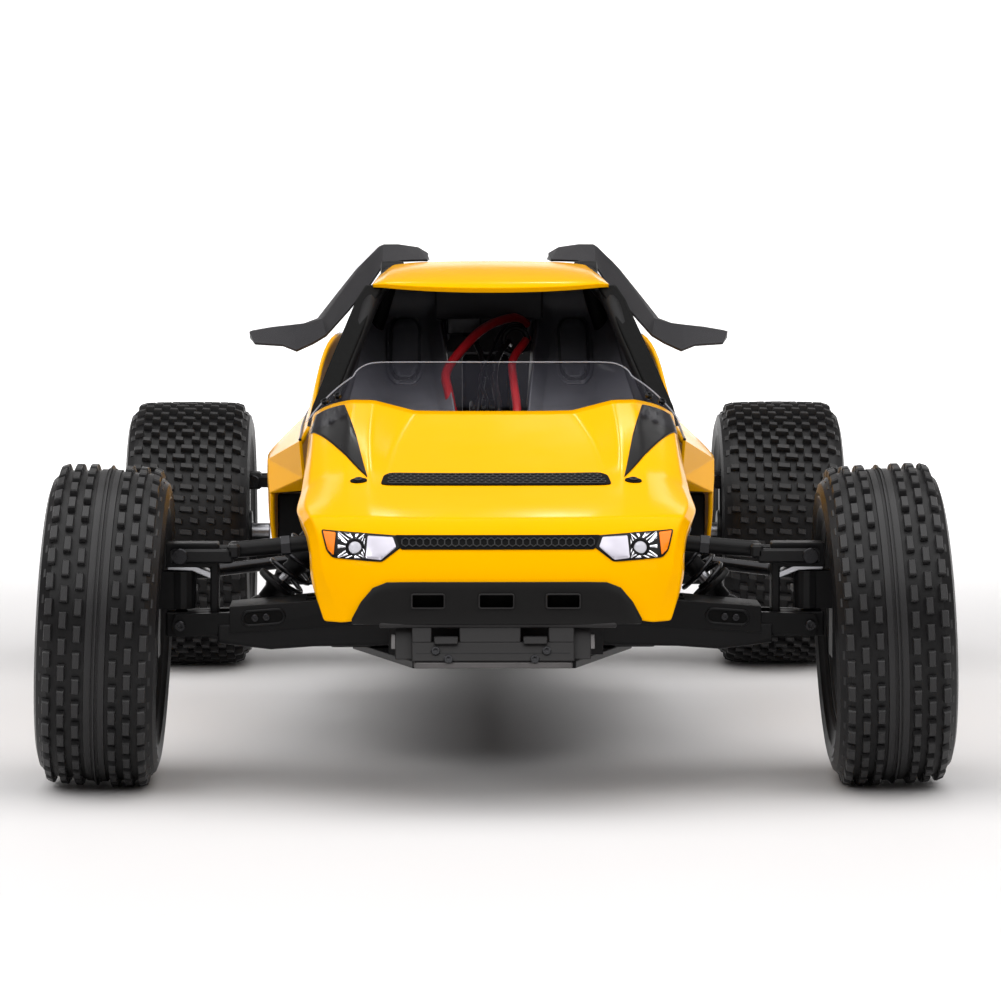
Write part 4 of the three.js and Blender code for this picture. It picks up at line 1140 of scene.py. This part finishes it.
# Rows of a seat: distance behind the front axle, and (x, z) points.
TUB_ROWS = [
    (97, [(17, 160), (18.5, 176), (23, 175), (27, 174.5), (64, 174.5), (72, 176), (80, 180), (84, 184)]),
    (125, [(17, 160), (19, 180), (22, 178.5), (26, 175.5), (62, 175), (71, 179), (78, 186), (83, 190)]),
    (165, [(18, 166), (20.5, 188), (24, 185), (28, 181), (60, 180), (69, 185), (77, 192), (81, 197)]),
    (215, [(20, 176), (23, 200), (27, 195), (31, 191), (60, 190.5), (67, 196), (74, 204), (78, 209)]),
    (265, [(22, 192), (26, 216.5), (30, 211), (34, 207), (61, 206.5), (67, 212), (72, 219), (76, 224)]),
    (305, [(24, 208), (29, 233), (33, 228), (37, 225), (62, 224.5), (67, 229), (71, 234), (73, 238)]),
    (320, [(25, 216), (30, 243), (34, 239), (38, 237), (62, 236.5), (66, 239), (69, 242), (71, 245)]),
    (321, [(25, 224), (30, 254), (34, 252), (38, 251), (61, 250.5), (64, 252), (66, 253), (67, 254)]),
    (306, [(25, 232), (30, 265), (34, 264), (38, 264), (58, 264), (59, 264), (60, 264), (61, 264)]),
]
OCTAGON = [(-6, -18), (6, -18), (10.5, -13), (10.5, 13), (6, 18), (-6, 18), (-10.5, 13), (-10.5, -13)]
OCTAGON_AT = (49.5, 217)
# The groove ring takes the darker liner colour: painted shade along the octagon's groove.
SEAT_PANELS = (("rim", 1.0, 0.5, SEAT), ("groove", 0.86, 1.1, LINER), ("pad", 0.7, 1.8, SEAT))
for side_name, side in SIDES:
    rows = [spots([(x, d, z) for x, z in half], side) for d, half in TUB_ROWS]
    tub = skin(f"cockpit_seat_{side_name}", rows, SEAT,
               creases=[(None, (1, 3, 4), 0.6), (6, None, 0.4)], levels=3,
               replaces=["cockpit_tub"] if side < 0 else ())
    tub_surface = surface_of(tub)
    # raised elongated octagon on the seat back, with a lower panel in it
    for label, grow, lift, mat in SEAT_PANELS:
        points = [(side * (OCTAGON_AT[0] + u * grow), AHEAD_OF_NOSE, OCTAGON_AT[1] + v * (grow * 0.5 + 0.5))
                  for u, v in OCTAGON]
        laid_patch(f"seat_{label}_{side_name}", rounded_outline(points, 2.5), tub_surface, BACKWARDS, mat,
                   lift=lift, thickness=1.2, cuts=3)
    tub_bolts = Build()
    for u, v in ((20, 140), (20, 290), (74, 150)):
        hit, normal = probe(tub_surface, spot(side * u, v, 300), DOWN)
        if hit:
            tub_bolts.screw(hit / MM, normal, 2.0, 1.4)
    tub_bolts.piece(f"seat_bolts_{side_name}", DARK_STEEL, "steel")
bridge = Build()
bridge.box((-19, fy(97), 173.6), (19, fy(112), 176.6), 0.8)
bridge.box((-32, fy(304), 234), (32, fy(322), 264.5), 1.2)
bridge.box((-60, fy(321), 214), (60, fy(324), 240), 0.8)
bridge.box((-19, fy(112), 158), (19, fy(300), 160), 0.6)
bridge.piece("cockpit_bridges", LINER, bevel=0.4)

electronics = Build()
electronics.box((-25, fy(284), 226.5), (-5, fy(296), 236), 0.8)
for i in range(9):
    electronics.box((-24.2 + i * 2.2, fy(282.5), 227), (-23.2 + i * 2.2, fy(284.2), 235.6), 0.2)
electronics.piece("cooling_block", DARK_STEEL, "alloy")
receiver = Build()
receiver.box((-14, fy(126), 160), (-1, fy(170), 176), 1.5)
receiver.box((-12, fy(186), 160), (6, fy(250), 190), 1.5)
receiver.box((-16, fy(262), 176), (12, fy(300), 214), 2.0)
receiver.piece("receiver_box", BLACK, bevel=0.5)
ties = Build()
turns = [2 * math.pi * k / 28 for k in range(29)]
ties.tube([spot(15 + 7 * math.cos(a), 262, 224 + 7 * math.sin(a)) for a in turns], 1.6, 10)
ties.piece("cable_loop", BLACK_GLOSS, sharp=60)

# Leads in the gap between the seats: name, material, radius and points.
WIRES = (
    ("red_lead", RED, 2.7, [(-20, 180, 178), (-24, 206, 196), (-25, 226, 208), (-12, 246, 224),
                            (0, 268, 232.5), (14, 284, 236), (22, 300, 232)]),
    ("red_lead_right", RED, 2.4, [(14, 120, 172), (14, 150, 191), (13, 200, 202.5), (13, 240, 213),
                                  (20, 258, 222.5), (22, 276, 224), (18, 296, 216)]),
    ("black_lead", BLACK_GLOSS, 2.0, [(6, 130, 168), (4, 160, 190), (2, 205, 204), (4, 240, 214),
                                      (10, 270, 222), (12, 296, 220)]),
    ("black_lead_left", BLACK_GLOSS, 1.7, [(-10, 170, 176), (-6, 196, 196), (-4, 228, 210), (-8, 262, 222),
                                           (-14, 288, 226)]),
    ("signal_lead", BLACK_GLOSS, 0.9, [(-8, 150, 174), (-2, 176, 190), (-6, 206, 204), (0, 238, 217),
                                 (8, 256, 231), (18, 262, 233), (24, 272, 222)]),
)
for name, mat, radius, points in WIRES:
    wire = Build()
    wire.tube(curve_through(spots(points), 10), radius, 12)
    wire.piece(name, mat, sharp=60)

# ---------------------------------------------------------------- bumper and fixed running gear

PLATE_X = (-43.5, 38.5)
SLOTS = ((-33.5, -19.5), (11.5, 25.5))


def lean(x, out, z):
    """A point on the leaning bumper plate, out millimetres in front of its face."""
    return Vector((x, fy(-125) + (z - 80) * 0.5 - out, z))


def leaning_box(build, x0, x1, out0, out1, z0, z1):
    """A box that leans with the bumper plate."""
    section = ((x0, out0), (x0, out1), (x1, out1), (x1, out0))
    build.loft([[lean(x, out, z) for x, out in section] for z in (z0, z1)])


plate = Build()
edges = [PLATE_X[0]] + [x for slot in SLOTS for x in slot] + [PLATE_X[1]]
for a, b in zip(edges[::2], edges[1::2]):
    leaning_box(plate, a, b, -4, 0.6, 88.6, 97.2)
leaning_box(plate, PLATE_X[0], PLATE_X[1], -4, 0.6, 97.0, 103.5)
leaning_box(plate, PLATE_X[0], PLATE_X[1], -4, 0.6, 79.6, 88.8)
for a, b in SLOTS:
    leaning_box(plate, a + 1.2, b - 0.6, -2, 2.6, 88.0, 91.6)
leaning_box(plate, -52, -43, -8, -4, 80, 100)
leaning_box(plate, 38, 47, -8, -4, 80, 100)
plate.piece("bumper_plate", GREY, "grey_plastic", bevel=0.6)
skid = Build()
profile = [(-124, 77.5), (35, 57.6), (35, 61), (-41, 72), (-110, 84), (-124, 84)]
skid.loft([[spot(x, d, z) for d, z in profile] for x in (-42, 37)])
skid.piece("bumper_skid", BLACK, "grey_plastic", bevel=0.8, replaces=["front_bumper"])
lip = Build()
lip.box((-42.5, fy(-125.2), 75.8), (37.5, fy(-113), 79.4), 0.8)
lip.piece("bumper_lip", LIP, "alloy", bevel=0.4)
gussets = Build()
for x0, x1 in ((-54, -45), (40, 49)):
    leaning_box(gussets, x0, x1, -6, -4.6, 85, 92)
gussets.piece("bumper_gussets", LIP, "alloy", bevel=0.3)
bumper_screws = Build()
for x, z in ((-31.5, 84.6), (24.5, 84.6), (-25, 80.6), (18.5, 80.6)):
    bumper_screws.screw(lean(x, 0.5, z), (0, -1, 0.45), 2.3, 1.1)
bumper_screws.piece("bumper_screws", DARK_STEEL, "steel")

# CAD nodes that stay as they are, with the width of their rounded edges.
for node, mat, width in (
    ("chassis_plate", BLACK, 0.5), ("front_bulkhead", BLACK, 0.7), ("rear_gearbox", BLACK, 0.8),
    ("steering_servo", BLACK, 0.8), ("speed_controller", GREY, 1.2), ("spur_gear", GREY, 0.15),
    ("motor_pinion", STEEL, 0.1), ("drag_link", ALLOY, 0.6), ("servo_arm", ALLOY, 0.6),
    ("idler_arm", ALLOY, 0.6),
):
    keep_cad(node, mat, width)

battery = Build()
for i in range(3):
    battery.box((-67.5, -149.5 + i * 56.6, 61.6), (-16.5, -94 + i * 56.6, 103.4), 3.0)
battery.piece("battery_cells", WRAP, "battery_wrap", bevel=0.8, replaces=["battery_pack"])
straps = Build()
for y in (-108, -22):
    straps.box((-69.5, y, 61.5), (-15, y + 16, 104.6), 1.0)
straps.piece("battery_straps", BLACK, bevel=0.4)

MOTOR_AT = (0.0, 177.0, 100.0)
can = Build()
fins = []
for i in range(12):
    x = -38 + i * 5.2
    fins += [(20.4, x), (22.0, x + 0.8), (22.0, x + 2.8), (20.4, x + 3.6)]
profile = [(0.01, -45), (9, -45), (10, -43.5), (19.5, -43.5), (21.6, -41.5), (21.6, -39.5)] + fins + [
    (21.8, 26), (21.8, 31.5), (20.6, 34.2), (0.01, 34.2)]
can.turned(profile, MOTOR_AT, ACROSS, 48)
can.turned([(0.01, 34), (2.4, 34), (2.4, 50.5), (2.0, 51), (0.01, 51)], MOTOR_AT, ACROSS, 20)
can.piece("motor_can", ALLOY, "steel", replaces=["motor"])
saddle = Build()
saddle.box((-36, 158, 61.5), (-28, 196, 92), 1.0)
saddle.box((14, 158, 61.5), (22, 196, 92), 1.0)
saddle.piece("motor_saddle", BLACK)
for k, (dx, mat) in enumerate(((-6, RED), (0, BLACK_GLOSS), (6, WRAP))):
    lead = Build()
    points = ((-44 + 0.5 * k, 177 + dx, 108), (-56, 172 + dx, 120), (-50, 120 + dx, 122), (-10, 60, 112 + k),
              (30 + 6 * k, 5, 104), (36 + 6 * k, -46, 90))
    lead.tube(curve_through(points, 8), 2.0, 10)
    lead.piece(f"motor_lead_{k}", mat, sharp=60)

esc_fins = Build()
for i in range(10):
    esc_fins.box((24 + i * 4, -130, 95.5), (25.6 + i * 4, -60, 103), 0.3)
esc_fins.piece("controller_fins", ALLOY, "alloy")

gearbox_bolts = Build()
for s in (-1, 1):
    for y, z in ((262, 120), (308, 120), (262, 72), (308, 72)):
        gearbox_bolts.screw((s * 40, y, z), (s, 0, 0), 2.4, 2.0)
    for z in (140, 165, 188):
        gearbox_bolts.screw((s * 24, 304, z), BACKWARDS, 2.2, 1.8)
    for x, z in ((60, 212), (50, 205)):
        gearbox_bolts.screw((s * x, 299, z), FORWARDS, 2.2, 1.8)
gearbox_bolts.piece("gearbox_bolts", STEEL, "steel")

# Stiffening ribs on the backs of the rear shock tower and the rear bumper rail
TOWER_BACK = 304.3
RAIL_BACK = 410.2
RIB_LOOPS = (
    (TOWER_BACK, 1.1, ((5, 136), (30, 136), (27, 176), (5, 176))),
    (TOWER_BACK, 1.1, ((5, 184), (33, 184), (64, 205), (64, 216), (5, 216))),
    (RAIL_BACK, 0.9, ((3, 88), (62, 88), (62, 104), (3, 104))),
)
ribs = Build()
for s in (-1, 1):
    for y, radius, corners in RIB_LOOPS:
        ribs.tube(rounded_outline([(s * x, y, z) for x, z in corners], 3.0), radius, 8, closed=True)
    for x in (18, 33, 48):
        ribs.tube([(s * x, RAIL_BACK, 88), (s * x, RAIL_BACK, 104)], 0.8, 8)
ribs.piece("rear_ribs", BLACK, sharp=60)
diff = Build()
flange = [(9, 39), (14, 39.5), (15.5, 41), (15.5, 44.5), (13, 46.5), (9.6, 46.8), (9.2, 45)]
for s in (-1, 1):
    diff.turned(flange, (0, REAR_Y, 91), (s, 0, 0), 32)
diff.piece("output_flanges", DARK_STEEL, "steel")

# ---------------------------------------------------------------- suspension

# Where each corner's parts are hinged, as (x, z), and where its shock body ends along the shock.
CORNERS = {
    "front": {"y": FRONT_Y, "arm_in": (48, 96), "arm_out": (166, 86), "link_in": (48, 132.5),
              "link_out": (166, 122.5), "top": (66, 160), "eye": (126, 91), "body_end": 52},
    "rear": {"y": REAR_Y, "arm_in": (52, 76), "arm_out": (150, 70), "link_in": (52, 125),
             "link_out": (150, 119), "top": (60, 212), "eye": (120, 78), "body_end": 84},
}
SHOCK_OFFSET = 34.0         # how far the shocks stand behind their axle
THREAD_PITCH = 2.2
SPRING_RADIUS = 11.4
SPRING_WIRE = 1.35
SPRING_COILS = {"front": 6.5, "rear": 8.5}
COIL_STEPS = 28
BOOT_FOLDS = 8


def make_shock(end, side, side_name):
    """Threaded body with its collar, rod with its cup, coil spring and dust boot."""
    c = CORNERS[end]
    y = c["y"] + SHOCK_OFFSET
    top = Vector((side * c["top"][0], y, c["top"][1]))
    eye = Vector((side * c["eye"][0], y, c["eye"][1]))
    length = (eye - top).length
    way = (eye - top).normalized()
    body_end = c["body_end"]
    upper = f"{end}_shock_body_{side_name}"
    lower = f"{end}_shock_rod_{side_name}"

    body = Build()
    threads = []
    d = 22.0
    while d < body_end - 12:
        threads += [(9.0, d), (9.5, d + 0.6), (9.5, d + 1.1), (9.0, d + 1.7)]
        d += THREAD_PITCH
    cap = [(0.01, 5), (6.4, 5), (7.6, 7), (9.4, 8), (9.9, 9), (9.9, 12), (9.2, 13), (9.2, 20)]
    seal = [(9.4, body_end - 11), (9.4, body_end - 4), (8.6, body_end - 3), (8.6, body_end), (4.0, body_end),
            (3.5, body_end - 1), (3.4, 18), (0.01, 18)]
    body.turned(cap + threads + seal, top, way, 36)
    body.ring([(3.5, -4.5), (6.2, -4.5), (6.9, -3.8), (6.9, 3.8), (6.2, 4.5), (3.5, 4.5)], top, BACKWARDS, 28)
    body.piece(f"{end}_shock_cylinder_{side_name}", BLACK, "black_metal", upper, sharp=35, replaces=[upper])
    collar = Build()
    knurl = [(9.6, 12.6), (12.9, 12.6), (13.4, 13.2), (13.4, 15.0), (12.8, 15.6), (9.6, 15.6)]
    collar.ring(knurl, top, way, 40)
    collar.piece(f"{end}_shock_collar_{side_name}", DARK_STEEL, "black_metal", upper)

    rod = Build()
    shaft = [(0.01, body_end - 13), (2.6, body_end - 13), (3.0, body_end - 12.4), (3.0, length - 13),
             (0.01, length - 13)]
    rod.turned(shaft, top, way, 24)
    rod.piece(f"{end}_shock_shaft_{side_name}", STEEL, "steel", lower, sharp=35, replaces=[lower])
    cup = Build()
    cup.turned([(3.1, length - 19), (5.2, length - 19), (6.2, length - 17.2), (12.4, length - 17),
                (12.8, length - 16.2), (12.8, length - 14.6), (12.0, length - 13.8), (7, length - 13.4),
                (5.4, length - 11), (5.0, length - 5), (3.0, length - 4)], top, way, 36)
    cup.ring([(3.3, -4), (5.8, -4), (6.4, -3.4), (6.4, 3.4), (5.8, 4), (3.3, 4)], eye, BACKWARDS, 28)
    cup.piece(f"{end}_shock_foot_{side_name}", BLACK, "black_metal", lower, sharp=35)

    spring = Build()
    coils = SPRING_COILS[end]
    start, stop = 15.8 + SPRING_WIRE, length - 17.4 - SPRING_WIRE
    u = Vector(BACKWARDS)
    v = way.cross(u)
    steps = int(coils * COIL_STEPS)
    path = []
    for i in range(steps + 1):
        t = i / steps
        eased = t - 0.045 * math.sin(2 * math.pi * t)
        angle = 2 * math.pi * coils * t
        path.append(top + way * (start + (stop - start) * eased) + u * SPRING_RADIUS * math.cos(angle)
                    + v * SPRING_RADIUS * math.sin(angle))
    spring.tube(path, SPRING_WIRE, 10)
    coil = spring.piece(f"{end}_coil_spring_{side_name}", DARK_STEEL, "black_metal", None, sharp=60,
                        replaces=[f"{end}_spring_{side_name}"])
    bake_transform(coil)
    boot = Build()
    rows = []
    boot_end = body_end + (length - 19 - body_end) * 0.8
    for k in range(BOOT_FOLDS + 1):
        d = body_end - 1 + (boot_end - body_end) * k / BOOT_FOLDS
        rows.append((6.4 - 1.6 * k / BOOT_FOLDS + (0.7 if k % 2 else 0), d))
    boot.turned([(3.4, rows[0][1])] + rows + [(3.4, rows[-1][1])], top, way, 24)
    sleeve = boot.piece(f"{end}_dust_boot_{side_name}", BLACK, body=None, sharp=60)
    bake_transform(sleeve)


def make_upper_link(end, side, side_name):
    """Link with an eye on the chassis side and a fork round its outer pin."""
    c = CORNERS[end]
    (xi, zi), (xo, zo) = c["link_in"], c["link_out"]
    y = c["y"]
    node = f"{end}_upper_link_{side_name}"

    def at(x):
        return Vector((side * x, y, zi + (zo - zi) * (x - xi) / (xo - xi)))

    run = (at(xo) - at(xi)).normalized()
    build = Build()
    total = (at(xo - 26) - at(xi)).length
    build.turned([(0.01, 5), (3.6, 5), (4.4, 7), (4.6, 9), (4.6, total * 0.35), (4.4, total * 0.6),
                  (4.4, total - 4), (4.0, total), (0.01, total)], at(xi), run, 28)
    build.ring([(3.4, -6), (5.8, -6), (6.5, -5.2), (6.5, 5.2), (5.8, 6), (3.4, 6)], at(xi), BACKWARDS, 28)
    mid = at(xo - 28)
    build.box((mid.x - 3.2, y - 14, mid.z - 3.6), (mid.x + 3.2, y + 14, mid.z + 3.6), 1.2)
    for dy in (-14, 9.5):
        build.side_box(side, (xo - 28, xo + 5), (y + dy, y + dy + 4.5), (zo - 3.8, zo + 3.8), 1.2)
    build.piece(f"{end}_camber_link_{side_name}", BLACK, body=node, sharp=35, replaces=[node])
    pin = Build()
    pin.turned([(0.01, -15.5), (3.8, -15.5), (4.3, -15), (4.3, -14), (3.0, -13.9), (3.0, 13.9), (4.3, 14),
                (4.3, 15), (3.8, 15.5), (0.01, 15.5)], (side * xo, y, zo), BACKWARDS, 24)
    pin.piece(f"{end}_link_pin_{side_name}", DARK_STEEL, "steel", node)
    collar = Build()
    start = at(xi + 60 if end == "front" else xi + 6)
    collar.turned([(4.2, 0), (5.4, 0.4), (5.4, 5.2), (4.2, 5.6)], start, run, 24, hexagon=(1, 2))
    collar.piece(f"{end}_link_nut_{side_name}", DARK_STEEL, "black_metal", node)


def make_arm_details(end, side, side_name):
    """The CAD arm with a pocket, bolts and, at the front, a web below it."""
    node = f"{end}_arm_{side_name}"
    c = CORNERS[end]
    keep_cad(node, ARM, 1.5)
    (xi, zi), (xo, zo) = c["arm_in"], c["arm_out"]
    y = c["y"]

    def level(x):
        return zi + (zo - zi) * (x - xi) / (xo - xi)

    def face(x):
        t = (x - xi) / (xo - 26 - xi)
        return y - 28 + 11 * min(1, max(0, t))

    def on_face(u, depth, v=0.0):
        x = x_mid + u
        return Vector((side * x, face(x) + depth, level(x) + 1.2 + v))

    # stadium pocket with two bolt heads in the arm's front face; the pocket is a dark plug, painted shade of
    # the recess
    x_mid = 122.0 if end == "front" else 108.0
    pocket = Build()
    outline = []
    for k in range(12):
        angle = math.pi * (k / 11) - math.pi / 2
        outline.append((7.0 + 3.4 * math.cos(angle), 3.4 * math.sin(angle)))
    outline += [(-u, -v) for u, v in outline]
    pocket.loft([[on_face(u, depth, v) for u, v in outline] for depth in (-0.4, 2.0)])
    pocket.piece(f"{end}_arm_pocket_{side_name}", DEEP_BLACK_AND_SHADE, "grey_plastic", node)
    lip = Build()
    path = [Vector((side * (x_mid + u * 1.06), face(x_mid + u) - 0.2, level(x_mid + u) + 1.2 + v * 1.1))
            for u, v in outline]
    lip.tube(path, 0.8, 8, closed=True)
    lip.piece(f"{end}_arm_pocket_lip_{side_name}", ARM, "grey_plastic", node, sharp=60)
    bolts = Build()
    for u in (-1.5, 4.5):
        bolts.screw(on_face(u, -0.4), FORWARDS, 1.9, 1.0)
    for dy in (-16.2, 15.2):
        bolts.screw((side * xo, y + dy, zo), (0, 1 if dy > 0 else -1, 0), 2.8, 1.6)
    bolts.piece(f"{end}_arm_bolts_{side_name}", DARK_STEEL, "steel", node)
    if end == "front":
        # darker web below the beam, stepping up towards the hub
        web = Build()
        rings = []
        for x, top, foot in ((52, 4, 19), (96, 4, 16.5), (118, 3.5, 16.5), (134, 2, 13.5), (146, 1, 11)):
            z = level(x)
            near = face(x) + 1.2
            rings.append([Vector((side * x, near + back, z - drop)) for back, drop in (
                (0, top), (0, foot - 1.5), (1.5, foot), (15, foot), (16, foot - 1.5), (16, top))])
        web.loft(rings)
        web.piece(f"front_arm_web_{side_name}", BLACK, "grey_plastic", node, bevel=0.8)


for side_name, side in SIDES:
    for end in ("front", "rear"):
        make_shock(end, side, side_name)
        make_upper_link(end, side, side_name)
        make_arm_details(end, side, side_name)
        if end == "front":
            keep_cad(f"{end}_hub_carrier_{side_name}", BLACK, 1.0)
    carrier = Build()
    for heights in ((113.5, 124.5), (64.5, 75.5)):
        carrier.side_box(side, (145, 160), (REAR_Y - 8.5, REAR_Y + 8.5), heights, 1.2)
    carrier.side_box(side, (152.5, 160), (REAR_Y - 9.5, REAR_Y + 9.5), (66, 123), 1.5)
    bearing = [(6.6, 151), (13.5, 151), (14.5, 152), (14.5, 162), (13.5, 163), (6.6, 163)]
    carrier.ring(bearing, (0, REAR_Y, AXLE_Z), (side, 0, 0), 32)
    carrier.piece(f"rear_upright_{side_name}", BLACK, body=f"rear_hub_carrier_{side_name}",
                  bevel=0.6, replaces=[f"rear_hub_carrier_{side_name}"])
    keep_cad(f"front_knuckle_{side_name}", BLACK, 0.8)
    keep_cad(f"half_shaft_{side_name}", DARK_STEEL, 0.5)

    # alloy bar over the knuckle's steering arm
    plate = Build()
    plate.loft([
        [Vector((side * x, FRONT_Y + dy, z + dz)) for dy, dz in ((-7, -3.6), (7, -3.6), (7, 0), (-7, 0))]
        for x, z in ((173, 118.2), (160, 117.8), (150, 113.6), (146, 112.4))
    ])
    plate.piece(f"steering_plate_{side_name}", ALLOY, "alloy", f"front_knuckle_{side_name}", bevel=0.5)
    ends = Build()
    ends.screw((side * 166, FRONT_Y + 42, 112.5), UP, 3.4, 1.6)
    ends.piece(f"steering_ball_nut_{side_name}", STEEL, "steel", f"front_knuckle_{side_name}")

    rod = Build()
    outer = Vector((side * 166, FRONT_Y + 42, 108))
    inner = Vector((side * 48, FRONT_Y + 90, 118))
    run = (inner - outer).normalized()
    total = (inner - outer).length
    rod.turned([(0.01, 16), (2.2, 16), (3.4, 17), (3.4, total / 2 - 6), (4.2, total / 2 - 5),
                (4.2, total / 2 + 5), (3.4, total / 2 + 6), (3.4, total - 17), (2.2, total - 16),
                (0.01, total - 16)], outer, run, 24,
               hexagon=(4, 5))
    rod.piece(f"tie_rod_bar_{side_name}", DARK_STEEL, "steel", f"front_tie_rod_{side_name}",
              replaces=[f"front_tie_rod_{side_name}"])
    cups = Build()
    for point, way in ((outer, run), (inner, -run)):
        cups.ring([(3.3, -3), (5.6, -3), (6.2, -2.4), (6.2, 2.4), (5.6, 3), (3.3, 3)], point, UP, 28)
        cups.turned([(0.01, 5), (3.2, 5), (3.6, 8), (3.9, 16), (3.6, 18.5), (0.01, 18.5)], point, way, 20)
    cups.piece(f"tie_rod_ends_{side_name}", BLACK, body=f"front_tie_rod_{side_name}", sharp=35)
